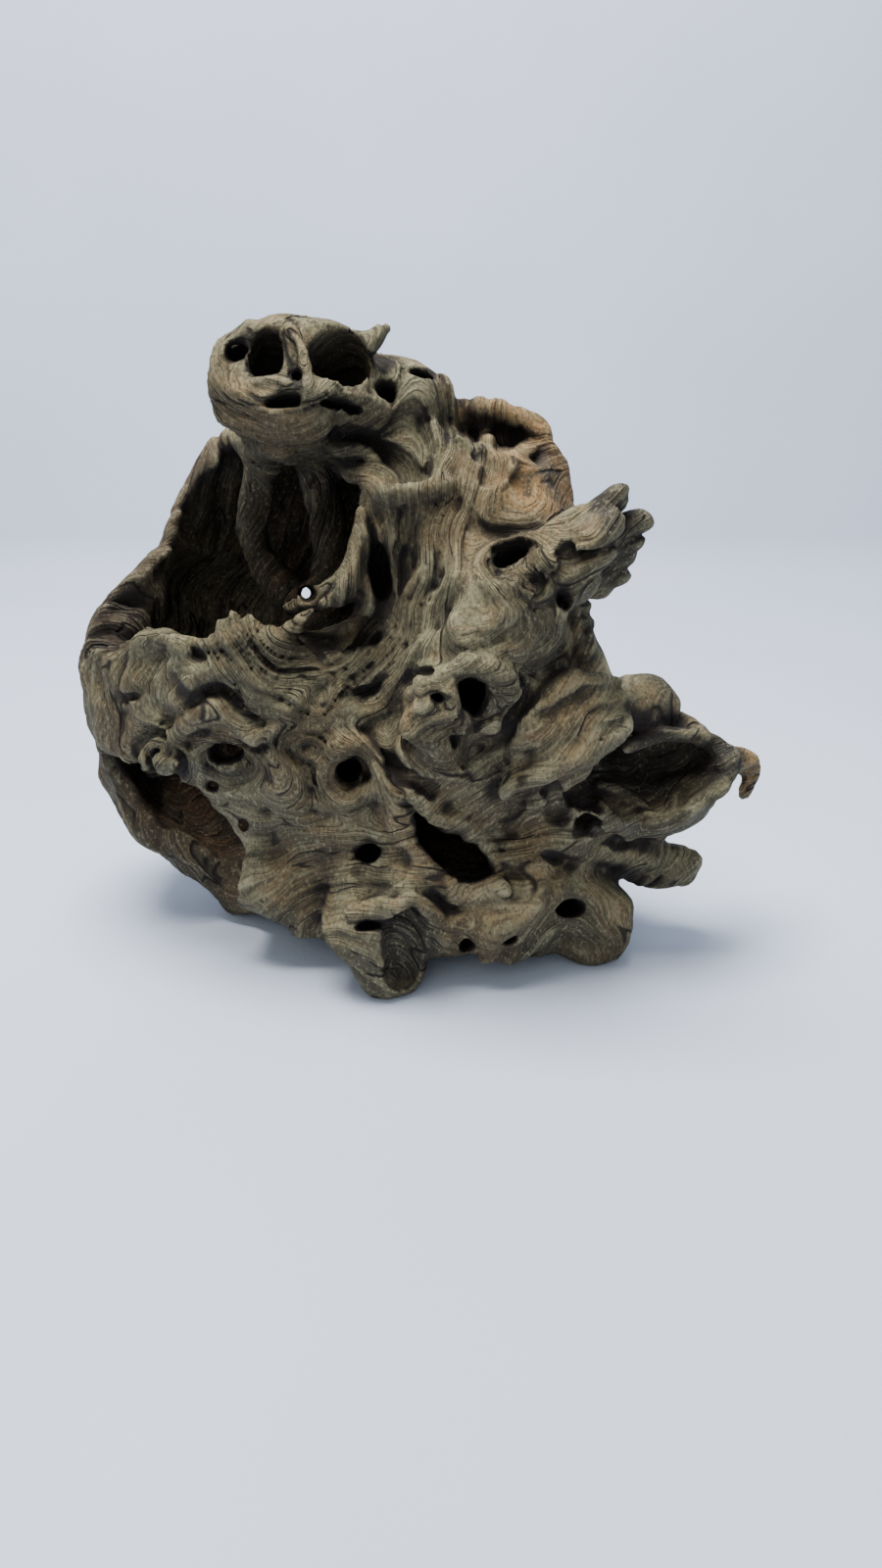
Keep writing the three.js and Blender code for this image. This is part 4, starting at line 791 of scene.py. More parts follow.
@dataclass(frozen=True)
class Grain:
    """The wood's growth lines, and the ridges and cracks that weather has left along them.

    Attributes:
        bends: Waves that move every place a little.
        waves: Waves that make the growth lines wander.
        broad: The wide ridges, raised before the details are laid on.
        fine: The narrow ridges, raised on everything.
        crack: The long cracks, with their depth as a height.
        crack_width: Half a crack's width, as a share of its wave.
        along: How long the ridges are in X, Y and Z.
        slant: How much of Y counts as height along the lines.
        far: The weight of a place that no flow reaches.
    """

    bends: tuple[Wave, ...] = (Wave(5.0, 38, 1), Wave(2.4, 14, 11))
    waves: tuple[Wave, ...] = (Wave(6.0, 34, 21), Wave(1.6, 12, 22))
    broad: Relief = Relief((Ridge(3.2, 19.0, 0.7, 35), Ridge(3.2, 9.0, 0.8, 31)), -3.9, -2.3)
    fine: Relief = Relief((Ridge(1.9, 4.4, 1.0, 32), Ridge(0.7, 1.9, 1.6, 33)), -1.2, -1.9)
    crack: Ridge = Ridge(0.9, 13.0, 1.1, 34)
    crack_width: float = 0.11
    along: Vec3 = (46, 60, 46)
    slant: float = 0.7
    far: float = 1e-4

    def bend(self, at: np.ndarray) -> np.ndarray:
        """The place in the wood's own space that lies at each point."""
        moved = at.astype(np.float32)
        for axis in range(3):
            for w in self.bends:
                moved[:, axis] += w.height * wave(at / w.length, w.seed + axis)
        return moved

    def line(self, at: np.ndarray) -> np.ndarray:
        """A value that stays the same along a growth line, in millimetres across them.

        Args:
            at: Bent places.

        Returns:
            The value at each place.
        """
        total = np.zeros(len(at), np.float32)
        weights = np.full(len(at), self.far, np.float32)
        for flow in FLOWS:
            across = np.array(flow.across, np.float32)
            across /= np.sqrt(across @ across)
            away = ((at - np.array(flow.at, np.float32)) ** 2).sum(1)
            weight = np.exp(-away / (2 * flow.reach**2))
            total += weight * (at @ across)
            weights += weight
        value = total / weights
        for w in self.waves:
            value = value + w.height * wave(at / w.length, w.seed)
        for knot in KNOTS:
            away = np.sqrt(((at - np.array(knot.at, np.float32)) ** 2).sum(1))
            value = value + (away - value) * np.exp(-((away / knot.reach) ** 2))
        return value

    def pattern(self, at: np.ndarray, line: np.ndarray, ridge: Ridge) -> np.ndarray:
        """How far each place is from the middle of a trough between ridges.

        Args:
            at: Bent places.
            line: The growth line's value at each.
            ridge: The ridges.

        Returns:
            The share of the way up, from 0 to 1, at each place.
        """
        slow = at / np.array(self.along, np.float32)
        up = slow[:, 2] + self.slant * slow[:, 1]
        own = np.stack([line / ridge.spacing, slow[:, 0] * ridge.stretch, up * ridge.stretch], 1)
        return np.abs(wave(own, ridge.seed))

    def rise(self, at: np.ndarray, line: np.ndarray, relief: Relief) -> np.ndarray:
        """How far a set of ridges stands above the smooth surface.

        Args:
            at: Bent places.
            line: The growth line's value at each.
            relief: The set of ridges.

        Returns:
            The height at each place.
        """
        height = np.full(len(at), relief.base, np.float32)
        for ridge in relief.ridges:
            height += ridge.height * np.sqrt(self.pattern(at, line, ridge))
        return np.maximum(height, relief.floor)

    def split(self, at: np.ndarray, line: np.ndarray) -> np.ndarray:
        """How deep the long cracks are at each bent place."""
        near = 1 - np.clip(self.pattern(at, line, self.crack) / self.crack_width, 0, 1)
        return self.crack.height * near


class Mark(Enum):
    """What has coloured a place on the wood (the char marks also paint shade into the foot hollow); the
    value names the vertex attribute.
    """

    AMBER = "amber"
    CHAR_AND_PAINTED_SHADE = "char_and_painted_shade"
    OLIVE = "olive"
    TAN = "tan"
    UMBER = "umber"


# How steeply a stain fades out at its edge
FALL_OFF = 1.5


@dataclass(frozen=True)
class Stain:
    """A round patch of colour.

    Attributes:
        at: Its middle, in millimetres.
        reach: Where it has faded out.
        strength: How strong it is in the middle.
    """

    at: Vec3
    reach: float
    strength: float = 1.0

    def weight(self, at: np.ndarray) -> np.ndarray:
        """How strongly the patch shows at each place, from 0 to its strength."""
        away = np.sqrt(((at - np.array(self.at)) ** 2).sum(1)) / self.reach
        return self.strength * eased(np.clip(FALL_OFF * (1 - away), 0, 1))


STAINS: dict[Mark, tuple[Stain, ...]] = {
    Mark.AMBER: (
        Stain((34, 14, 240), 26, 0.8),
        Stain((54, 14, 226), 24),
        Stain((64, 4, 206), 22, 0.9),
        Stain((44, -10, 226), 20, 0.5),
        Stain((48, -24, 214), 24, 0.8),
        Stain((60, -20, 198), 20, 0.6),
        Stain((148, 10, 76), 24, 0.8),
        Stain((95, -34, 111), 12, 0.9),
    ),
    Mark.CHAR_AND_PAINTED_SHADE: (
        Stain((140, -10, 92), 24, 0.9),
        Stain((104, -12, 97), 30, 0.9),
        Stain((80, -20, 96), 20, 0.8),
        Stain((102, -5, 118), 22),
        Stain((66, -14, 148), 20, 0.9),
        Stain((92, -33, 204), 20, 0.8),
        Stain((81, -44, 209), 19),
        Stain((80, -50, 200), 16, 0.9),
        Stain((86, -32, 184), 20, 0.75),
        # Painted shade: these two darken the foot hollow, where shade falls, with the char colour.
        Stain((-6, -57, 22), 20),
        Stain((-7, -58, 38), 15, 0.9),
        Stain((48, -44, 16), 24, 0.5),
    ),
    Mark.OLIVE: (
        Stain((-22, -66, 14), 22, 0.9),
        Stain((66, -48, 20), 30, 0.8),
        Stain((108, -34, 78), 34),
        Stain((78, -36, 80), 24, 0.7),
    ),
    Mark.TAN: (
        Stain((-7, -50, 80), 16),
        Stain((-2, -52, 62), 15),
        Stain((12, -52, 47), 16),
        Stain((30, -52, 46), 16),
        Stain((-29, -48, 96), 18, 0.8),
        Stain((46, -46, 44), 20, 0.7),
        Stain((30, -50, 14), 30, 0.7),
        Stain((-76, -22, 240), 28),
        Stain((-52, -26, 226), 26),
    ),
    Mark.UMBER: (
        Stain((-101, 25, 212), 34, 0.9),
        Stain((-123, 20, 186), 40),
        Stain((-141, 20, 152), 38),
        Stain((-136, 15, 70), 30),
        Stain((-122, 15, 40), 38),
        Stain((-98, 15, 20), 32),
        Stain((56, 0, 214), 26, 0.6),
    ),
}

Socket = bpy.types.NodeSocket


class Bench:
    """Makes the nodes of one material and joins them up.

    Attributes:
        material: The material that the nodes belong to.
    """

    def __init__(self, name: str) -> None:
        """Starts a material with no nodes.

        Args:
            name: The material's name.
        """
        self.material = bpy.data.materials.new(name)
        self.material.use_nodes = True
        self._tree = self.material.node_tree
        self._tree.nodes.clear()

    def add(self, kind: str, inputs: dict, **settings: object) -> bpy.types.Node:
        """Adds one node.

        Args:
            kind: The node's type, without its ShaderNode prefix.
            inputs: A value or a socket for each input, by its name or number.
            **settings: Properties of the node.

        Returns:
            The node.
        """
        node = self._tree.nodes.new("ShaderNode" + kind)
        for name, value in settings.items():
            setattr(node, name, value)
        for name, value in inputs.items():
            if isinstance(value, Socket):
                self._tree.links.new(value, node.inputs[name])
            else:
                node.inputs[name].default_value = value
        return node

    def attribute(self, name: str) -> Socket:
        """The value that the mesh keeps under a name."""
        return self.add("Attribute", {}, attribute_name=name).outputs["Fac"]

    def place(self) -> Socket:
        """Where on the object a point lies, in millimetres."""
        return self.scaled(self.add("TexCoord", {}).outputs["Object"], (1 / MM,) * 3)

    def scaled(self, vector: Socket, by: Vec3) -> Socket:
        """A vector with each part multiplied by its own number."""
        return self.add("VectorMath", {0: vector, 1: by}, operation="MULTIPLY").outputs[0]

    def math(
        self, operation: str, a: Socket | float, b: Socket | float = 0, c: Socket | float = 0
    ) -> Socket:
        """One sum of up to three values, by the name that Blender has for it."""
        return self.add("Math", {0: a, 1: b, 2: c}, operation=operation).outputs[0]

    def fade(self, value: Socket, start: float, full: float, top: float = 1.0) -> Socket:
        """A smooth rise from 0 to a top value.

        Args:
            value: What it follows.
            start: The value where it is 0.
            full: The value where it has risen to the top, on either side of the start.
            top: The top value.

        Returns:
            The risen value.
        """
        (low, at_low), (high, at_high) = sorted([(start, 0.0), (full, top)])
        inputs = {"Value": value, "From Min": low, "From Max": high, "To Min": at_low, "To Max": at_high}
        return self.add("MapRange", inputs, interpolation_type="SMOOTHSTEP").outputs[0]

    def noise(self, at: Socket, scale: float, detail: float = 2.0, across: Socket | None = None) -> Socket:
        """A random pattern with values about 0.5.

        Args:
            at: Where on the pattern each point lies.
            scale: How many of its features fit in one unit.
            detail: How many finer layers it has.
            across: A fourth coordinate, or none.

        Returns:
            The pattern's value.
        """
        inputs = {"Vector": at, "Scale": scale, "Detail": detail, "Roughness": 0.55}
        if across is None:
            return self.add("TexNoise", inputs, noise_dimensions="3D").outputs["Fac"]
        inputs["W"] = across
        return self.add("TexNoise", inputs, noise_dimensions="4D").outputs["Fac"]

    def mix(self, share: Socket, a: Socket | Colour, b: Socket | Colour) -> Socket:
        """Two colours mixed.

        Args:
            share: How much of the second colour there is.
            a: The first colour.
            b: The second colour.

        Returns:
            The mixed colour.
        """
        inputs = {0: share}
        for socket, value in ((6, a), (7, b)):
            inputs[socket] = value if isinstance(value, Socket) else (*value, 1.0)
        return self.add("Mix", inputs, data_type="RGBA", blend_type="MIX").outputs[2]

    def finish(self, inputs: dict) -> bpy.types.Material:
        """Ends the material with its shader.

        Args:
            inputs: A value or a socket for each of the shader's inputs that is set.

        Returns:
            The material.
        """
        shader = self.add("BsdfPrincipled", inputs)
        self.add("OutputMaterial", {"Surface": shader.outputs[0]})
        return self.material


@dataclass(frozen=True)
class Streak:
    """A pattern drawn out along the growth lines.

    Attributes:
        spacing: How far apart its lines are, in millimetres.
        stretch: How often they break off.
        detail: How many finer layers it has.
    """

    spacing: float
    stretch: float
    detail: float


@dataclass(frozen=True)
class Cloud:
    """A pattern of patches.

    Attributes:
        scale: How many patches fit in a millimetre.
        detail: How many finer layers it has.
        squash: How much lower than wide the patches are.
    """

    scale: float
    detail: float
    squash: float = 1.0


@dataclass(frozen=True)
class Coat:
    """A colour laid over those before it, where a pattern says so.

    Attributes:
        pattern: The pattern's name.
        start: The pattern's value where the coat begins.
        full: The pattern's value where it is at its strongest.
        share: How much it hides there.
        colour: Its colour, or none for that of the wood's inside.
    """

    pattern: str
    start: float
    full: float
    share: float
    colour: Colour | None = None


GREY: Colour = (0.165, 0.148, 0.080)
WARM: Colour = (0.175, 0.122, 0.056)
PALE: Colour = (0.40, 0.36, 0.215)
SHADE: Colour = (0.040, 0.033, 0.021)
DARK: Colour = (0.014, 0.010, 0.008)
BROWN: Colour = (0.024, 0.015, 0.010)
RUSSET: Colour = (0.085, 0.040, 0.021)
RUST: Colour = (0.21, 0.105, 0.042)
AMBER: Colour = (0.36, 0.20, 0.075)
# The colour of char, also used as painted shade in the foot hollow.
CHAR_AND_PAINTED_SHADE: Colour = (0.013, 0.012, 0.012)
OLIVE: Colour = (0.070, 0.066, 0.036)
TAN: Colour = (0.32, 0.215, 0.105)
UMBER: Colour = (0.055, 0.030, 0.017)


@dataclass(frozen=True)
class WeatheredWood:
    """Root wood that sun and water have turned grey, with brown wood in its hollows, painted shade in
    its troughs, closed-in places, down-facing sides and foot hollow, and painted highlight on its ridges.

    Attributes:
        name: The material's name.
        along: How many lengths of the patterns fit in a millimetre along the wood.
        streaks: Its patterns along the growth lines, by name.
        clouds: Its patterns of patches, by name.
        crack_width: Half a crack's width, as a share of its pattern.
        coats: The colours, from the lowest to the highest.
        heights: How high each pattern stands, in millimetres.
        rough_from: How rough it is at its smoothest.
        rough_by: How much rougher it is elsewhere.
        specular: How much it shines.
    """

    name: str = "weathered_wood_skin"
    along: Vec3 = (1 / 46, 1 / 60, 1 / 46)
    streaks: tuple[tuple[str, Streak], ...] = (
        ("bands", Streak(3.6, 1.2, 2.0)),
        ("lines", Streak(1.3, 2.0, 1.0)),
        ("fibre", Streak(0.5, 4.0, 2.0)),
        ("inside", Streak(5.0, 1.5, 3.0)),
        ("splits", Streak(9.0, 1.0, 1.0)),
    )
    clouds: tuple[tuple[str, Cloud], ...] = (
        ("blotch", Cloud(1 / 30, 4.0)),
        ("cloud", Cloud(1 / 9, 3.0)),
        ("pores", Cloud(1.1, 1.0)),
        ("specks", Cloud(0.8, 3.0, 0.6)),
        ("patches", Cloud(1 / 13, 3.0, 1.3)),
        ("cracked", Cloud(1 / 20, 1.0)),
    )
    crack_width: float = 0.045
    coats: tuple[Coat, ...] = (
        Coat("blotch", 0.40, 0.62, 1.0, WARM),
        Coat("cloud", 0.50, 0.75, 0.4, PALE),
        Coat("patches", 0.58, 0.72, 0.5, RUST),
        Coat("tan", 0.1, 0.9, 0.7, TAN),
        Coat("amber", 0.1, 0.9, 0.85, AMBER),
        Coat("olive", 0.1, 0.9, 0.8, OLIVE),
        Coat("bands", 0.52, 0.72, 0.5, PALE),
        Coat("bands", 0.50, 0.30, 0.6, SHADE),
        Coat("umber", 0.1, 0.8, 0.8, UMBER),
        Coat("deep", 9.0, 20.0, 1.0),
        # Char, and painted shade in the foot hollow.
        Coat("char_and_painted_shade_share", 0.40, 0.95, 0.96, CHAR_AND_PAINTED_SHADE),
        # Painted shade: darkens surfaces that face down, as if shaded from the light overhead.
        Coat("up", 0.6, -0.5, 0.72, SHADE),
        # Painted highlight: lightens ridges, as light catching them would.
        Coat("hollow", -0.04, -0.30, 0.45, PALE),
        Coat("lines", 0.48, 0.30, 0.55, SHADE),
        Coat("lines", 0.56, 0.74, 0.25, PALE),
        Coat("fibre", 0.50, 0.32, 0.65, SHADE),
        Coat("fibre", 0.54, 0.72, 0.30, PALE),
        Coat("specks", 0.47, 0.34, 0.55, SHADE),
        Coat("specks", 0.55, 0.70, 0.35, PALE),
        # Painted shade: darkens places that the wood closes in, as shade would.
        Coat("occlusion_shade", 0.12, 0.62, 0.95, DARK),
        # Painted shade: darkens troughs and creases, as shade would.
        Coat("hollow", 0.03, 0.26, 0.85, DARK),
        Coat("crack", 0.0, 1.0, 0.9, DARK),
        Coat("pores", 0.36, 0.24, 0.5, DARK),
    )
    heights: tuple[tuple[str, float], ...] = (
        ("bands", 1.5),
        ("lines", 1.5),
        ("fibre", 0.9),
        ("specks", 0.5),
        ("crack", -1.4),
        ("pores", 0.15),
    )
    rough_from: float = 0.70
    rough_by: float = 0.22
    specular: float = 0.25

    def drawn(self, bench: Bench) -> dict[str, Socket]:
        """The patterns that the noise gives, as it comes.

        Args:
            bench: Where the material is made.

        Returns:
            Each pattern's value, by its name.
        """
        place = bench.place()
        slow = bench.scaled(place, self.along)
        growth = bench.attribute("growth")
        found = {}
        for name, streak in self.streaks:
            line = bench.math("DIVIDE", growth, streak.spacing)
            at = bench.scaled(slow, (streak.stretch,) * 3)
            found[name] = bench.noise(at, 1.0, streak.detail, line)
        for name, cloud in self.clouds:
            at = place if cloud.squash == 1 else bench.scaled(place, (1.0, 1.0, cloud.squash))
            found[name] = bench.noise(at, cloud.scale, cloud.detail)
        return found

    def patterns(self, bench: Bench) -> dict[str, Socket]:
        """All the patterns that the coats follow.

        Args:
            bench: Where the material is made.

        Returns:
            Each pattern's value, by its name.
        """
        found = self.drawn(bench)
        for name in ("tan", "amber", "olive", "umber", "hollow", "occlusion_shade"):
            found[name] = bench.attribute(name)
        trough = bench.math("ABSOLUTE", bench.math("MULTIPLY_ADD", found["splits"], 2.0, -1.0))
        some = bench.fade(found["cracked"], 0.46, 0.54)
        found["crack"] = bench.math("MULTIPLY", bench.fade(trough, self.crack_width, 0.0), some)
        # The normal's height, which one coat uses for painted shade on down-facing surfaces.
        normal = bench.add("NewGeometry", {}).outputs["Normal"]
        found["up"] = bench.add("SeparateXYZ", {0: normal}).outputs["Z"]
        found["deep"] = bench.math("MULTIPLY_ADD", found["cloud"], 8.0, bench.attribute("depth"))
        # Where char is, and the painted shade in the foot hollow.
        found["char_and_painted_shade_share"] = bench.math("MULTIPLY_ADD", found["cloud"], 0.5, bench.attribute("char_and_painted_shade"))
        return found

    def make(self) -> bpy.types.Material:
        """The finish as a material.

        Returns:
            The material.
        """
        bench = Bench(self.name)
        patterns = self.patterns(bench)
        inside = bench.mix(bench.fade(patterns["inside"], 0.42, 0.66), BROWN, RUSSET)
        colour: Socket | Colour = GREY
        for coat in self.coats:
            share = bench.fade(patterns[coat.pattern], coat.start, coat.full, coat.share)
            colour = bench.mix(share, colour, coat.colour or inside)
        height: Socket | float = 0.0
        for name, rise in self.heights:
            height = bench.math("MULTIPLY_ADD", patterns[name], rise, height)
        bump = bench.add("Bump", {"Height": height, "Distance": MM})
        rough = bench.fade(patterns["cloud"], 0.3, 0.7, self.rough_by)
        return bench.finish(
            {
                "Base Color": colour,
                "Roughness": bench.math("ADD", rough, self.rough_from),
                "Specular IOR Level": self.specular,
                "Normal": bump.outputs[0],
            }
        )


@dataclass(frozen=True)
class PaleCloth:
    """The matt, pale sheet that the wood stands on."""

    name: str = "pale_sheet"
    colour: Colour = (0.68, 0.745, 0.86)
    shade: Colour = (0.64, 0.70, 0.82)

    def make(self) -> bpy.types.Material:
        """The finish as a material.

        Returns:
            The material.
        """
        bench = Bench(self.name)
        at = bench.add("TexCoord", {}).outputs["Object"]
        cloud = bench.noise(at, 2.5, 3.0)
        weave = bench.noise(at, 400.0, 2.0)
        bump = bench.add("Bump", {"Height": weave, "Distance": 0.2 * MM})
        return bench.finish(
            {
                "Base Color": bench.mix(bench.fade(cloud, 0.35, 0.65), self.colour, self.shade),
                "Roughness": bench.math("MULTIPLY_ADD", weave, 0.1, 0.8),
                "Specular IOR Level": 0.2,
                "Normal": bump.outputs[0],
            }
        )


def refined(values: np.ndarray) -> np.ndarray:
    """A grid of twice as many points, with the values between them filled in.

    Args:
        values: The coarse grid's values.

    Returns:
        The fine grid's values.
    """
    for axis in range(3):
        old = np.moveaxis(values, axis, 0)
        new = np.empty((2 * len(old) - 1, *old.shape[1:]), np.float32)
        new[::2] = old
        new[1::2] = (old[:-1] + old[1:]) / 2
        values = np.moveaxis(new, 0, axis)
    return np.ascontiguousarray(values)


def largest_piece(count: int, faces: np.ndarray) -> np.ndarray:
    """The faces of the largest connected piece of a mesh.

    Args:
        count: How many vertices there are.
        faces: Each face's vertices.

    Returns:
        The faces of that piece.
    """
    root = np.arange(count)
    while True:
        low = root[faces].min(1)
        new = root.copy()
        np.minimum.at(new, faces.ravel(), np.repeat(low, faces.shape[1]))
        new = new[new]
        if (new == root).all():
            break
        root = new
    owner = root[faces[:, 0]]
    return faces[owner == np.bincount(owner).argmax()]


@dataclass(frozen=True)
class Driftwood:
    """The whole piece of wood, grown from its portions.

    Attributes:
        name: The name of the piece.
        grid: The coarse grid's step in millimetres; the fine one has half of it.
        band: How far from the surface the fine grid is worked out.
        sole: Vertices lower than this lie on the floor.
        max_faces: The most triangles it may have.
        grain: Its growth lines and ridges.
        covers: The share of each reading of how closed in a vertex is, for its painted shade, with how far
            from it that is.
        rounds: How often the values of hollowness are evened out with those around them.
        finish: Its finish.
        portions: Its portions, in the order in which they are made.
    """

    name: str = "weathered_root"
    grid: float = 2.8
    band: float = 6.5
    sole: float = 0.3
    max_faces: int = 195_000
    grain: Grain = field(default_factory=Grain)
    covers: tuple[tuple[float, float], ...] = ((0.3, 3.0), (0.35, 8.0), (0.35, 20.0))
    rounds: int = 2
    finish: WeatheredWood = field(default_factory=WeatheredWood)
    portions: tuple[Portion, ...] = (
        Trunk(),
        Crown(),
        Branch(),
        Knuckle(),
        Scoop(),
        Feet(),
        Shell(),
        Back(),
        Face(),
    )

    def worked(
        self, values: np.ndarray, at: np.ndarray, bent: np.ndarray, steps: Sequence[Step]
    ) -> None:
        """Joins or cuts bodies one after another.

        Args:
            values: The distance of each point from the surface so far, changed in place.
            at: The points.
            bent: Their places in the wood's own space.
            steps: The bodies.
        """
        columns = np.ascontiguousarray(at.T)
        for step in steps:
            low, high = step.body.box()
            reach = step.blend + BOX_MARGIN
            near = np.arange(len(at))
            for axis in range(3):
                own = columns[axis][near]
                near = near[(own > low[axis] - reach) & (own < high[axis] + reach)]
            if len(near) == 0:
                LOG.debug("%s: it touches no point", step.name)
                continue
            body = step.body.distance(bent[near])
            sign = step.act.value
            values[near] = sign * soft_min(sign * values[near], body, step.blend)

    def distance(self, at: np.ndarray, bent: np.ndarray) -> np.ndarray:
        """The distance of each point from the surface without its fine ridges.

        Args:
            at: The points.
            bent: Their places in the wood's own space.

        Returns:
            The distances, negative in the wood.
        """
        values = np.full(len(at), OPEN_AIR, np.float32)
        self.worked(values, at, bent, [s for portion in self.portions for s in portion.forms])
        skin = np.flatnonzero(np.abs(values) < SKIN)
        places = bent[skin]
        values[skin] -= self.grain.rise(places, self.grain.line(places), self.grain.broad)
        self.worked(values, at, bent, [s for portion in self.portions for s in portion.details])
        return values

    def depth(self, at: np.ndarray, bent: np.ndarray) -> np.ndarray:
        """How deep each point would lie in the wood if nothing had been cut out of it.

        Args:
            at: The points.
            bent: Their places in the wood's own space.

        Returns:
            The depths.
        """
        values = np.full(len(at), OPEN_AIR, np.float32)
        steps = [s for portion in self.portions for s in (*portion.forms, *portion.details)]
        self.worked(values, at, bent, [step for step in steps if step.act is Act.ADD])
        return -values

    def fine_grid(self) -> np.ndarray:
        """The distance from the rough surface on the fine grid, cut off at the floor.

        Returns:
            The values of the grid.
        """
        low = np.array(REACH_LOW, np.float32)
        size = np.ceil((np.array(REACH_HIGH) - low) / self.grid).astype(int) + 1
        places = np.stack(np.meshgrid(*map(np.arange, size), indexing="ij"), -1)
        at = (low + places.reshape(-1, 3) * self.grid).astype(np.float32)
        coarse = self.distance(at, self.grain.bend(at)).reshape(size)
        values = refined(coarse)
        near = np.argwhere(np.abs(values) < self.band)
        at = (low + near * (self.grid / 2)).astype(np.float32)
        bent = self.grain.bend(at)
        line = self.grain.line(bent)
        ridges = self.grain.rise(bent, line, self.grain.fine) - self.grain.split(bent, line)
        values[tuple(near.T)] = self.distance(at, bent) - ridges
        heights = REACH_LOW[2] + np.arange(values.shape[2]) * self.grid / 2
        LOG.info("fine grid: %s points, %d near the surface", values.shape, len(near))
        return np.maximum(values, -heights.astype(np.float32))

    def surface(self, values: np.ndarray) -> tuple[np.ndarray, np.ndarray]:
        """The traced surface: its points in millimetres and its four-sided faces.

        Args:
            values: The distance on the fine grid.

        Returns:
            The points and the faces.
        """
        volume = openvdb.FloatGrid(OPEN_AIR)
        volume.copyFromArray(values)
        volume.transform = openvdb.createLinearTransform(self.grid / 2)
        points, faces = volume.convertToQuads(0.0)
        faces = largest_piece(len(points), faces.astype(np.int64))
        used, faces = np.unique(faces, return_inverse=True)
        points = points[used] + np.array(REACH_LOW, np.float32)
        return points, faces.reshape(-1, 4)

    def thinned(self, mesh: bpy.types.Mesh) -> bpy.types.Mesh:
        """The mesh with no more triangles than it may have, fewest where it is plain.

        Args:
            mesh: The mesh as traced.

        Returns:
            The thinned mesh.
        """
        obj = bpy.data.objects.new(self.name, mesh)
        bpy.context.scene.collection.objects.link(obj)
        thin = obj.modifiers.new("thin", "DECIMATE")
        thin.ratio = min(1.0, self.max_faces / (2 * len(mesh.polygons)))
        thin.use_collapse_triangulate = True
        ready = obj.evaluated_get(bpy.context.evaluated_depsgraph_get())
        result = bpy.data.meshes.new_from_object(ready)
        bpy.data.objects.remove(obj)
        return result

    def build(self) -> bpy.types.Object:
        """The wood as an object of its own, in metres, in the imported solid's frame.

        Returns:
            The object, without its finish.
        """
        values = self.fine_grid()
        points, faces = self.surface(values)
        mesh = bpy.data.meshes.new(self.name)
        mesh.from_pydata(points, [], faces)
        mesh.validate()
        mesh = self.thinned(mesh)
        mesh.name = self.name
        at = np.empty(len(mesh.vertices) * 3, np.float32)
        mesh.vertices.foreach_get("co", at)
        at = at.reshape(-1, 3)
        at[at[:, 2] < self.sole, 2] = 0
        self.keep_values(mesh, at, values)
        metres = (at - np.array(CENTRE, np.float32)) * np.float32(MM)
        mesh.vertices.foreach_set("co", metres.ravel())
        mesh.shade_smooth()
        mesh.update()
        obj = bpy.data.objects.new(self.name, mesh)
        bpy.context.scene.collection.objects.link(obj)
        LOG.info("%s: %d faces", self.name, len(mesh.polygons))
        return obj

    def occlusion_shade(self, values: np.ndarray, at: np.ndarray, normals: np.ndarray) -> np.ndarray:
        """How much of the space in front of each vertex is closed in, which the finish turns into painted
        shade.

        Args:
            values: The distance on the fine grid.
            at: The vertices, in millimetres.
            normals: The direction that each vertex faces.

        Returns:
            The shares, from 0 to 1.
        """
        top = np.array(values.shape) - 1
        total = np.zeros(len(at), np.float32)
        for share, away in self.covers:
            cell = (at + normals * away - np.array(REACH_LOW)) / (self.grid / 2)
            cell = np.clip(np.round(cell).astype(int), 0, top)
            room = values[tuple(cell.T)] / away
            total += share * np.clip(1 - room, 0, 1)
        return total

    def hollowness(self, mesh: bpy.types.Mesh, at: np.ndarray, normals: np.ndarray) -> np.ndarray:
        """How hollow the surface is at each vertex: above 0 in troughs, below 0 on ridges.

        Args:
            mesh: The mesh.
            at: Its vertices, in millimetres.
            normals: The direction that each vertex faces.

        Returns:
            The values.
        """
        ends = np.empty(len(mesh.edges) * 2, np.int32)
        mesh.edges.foreach_get("vertices", ends)
        a, b = ends.reshape(-1, 2).T
        span = at[b] - at[a]
        length = np.sqrt((span**2).sum(1)) + TINY
        count = np.bincount(a, minlength=len(at)) + np.bincount(b, minlength=len(at)) + TINY

        def gathered(from_a: np.ndarray, from_b: np.ndarray) -> np.ndarray:
            """The mean over each vertex's edges of a value for either end."""
            total = np.bincount(a, from_a, len(at)) + np.bincount(b, from_b, len(at))
            return total / count

        rise_a = (span * normals[a]).sum(1) / length
        rise_b = -(span * normals[b]).sum(1) / length
        values = gathered(rise_a, rise_b)
        for _ in range(self.rounds):
            values = 0.5 * values + 0.5 * gathered(values[b], values[a])
        return values

    def keep_values(self, mesh: bpy.types.Mesh, at: np.ndarray, values: np.ndarray) -> None:
        """Keeps on each vertex the values that the finish reads.

        Args:
            mesh: The mesh.
            at: Its vertices, in millimetres.
            values: The distance on the fine grid.
        """
        bent = self.grain.bend(at)
        normals = np.empty(len(at) * 3, np.float32)
        mesh.vertices.foreach_get("normal", normals)
        normals = normals.reshape(-1, 3)
        kept = {
            "growth": self.grain.line(bent),
            "depth": self.depth(at, bent),
            "hollow": self.hollowness(mesh, at, normals),
            "occlusion_shade": self.occlusion_shade(values, at, normals),
        }
        for mark, stains in STAINS.items():
            kept[mark.value] = np.max([stain.weight(bent) for stain in stains], axis=0)
        for name, numbers in kept.items():
            layer = mesh.attributes.new(name, "FLOAT", "POINT")
            layer.data.foreach_set("value", numbers.astype(np.float32))

    def dress(self, obj: bpy.types.Object) -> None:
        """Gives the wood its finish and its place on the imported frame.

        Args:
            obj: The wood.
        """
        obj.data.materials.append(self.finish.make())
        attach(obj, BODY)
        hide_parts(CAD_NODE)


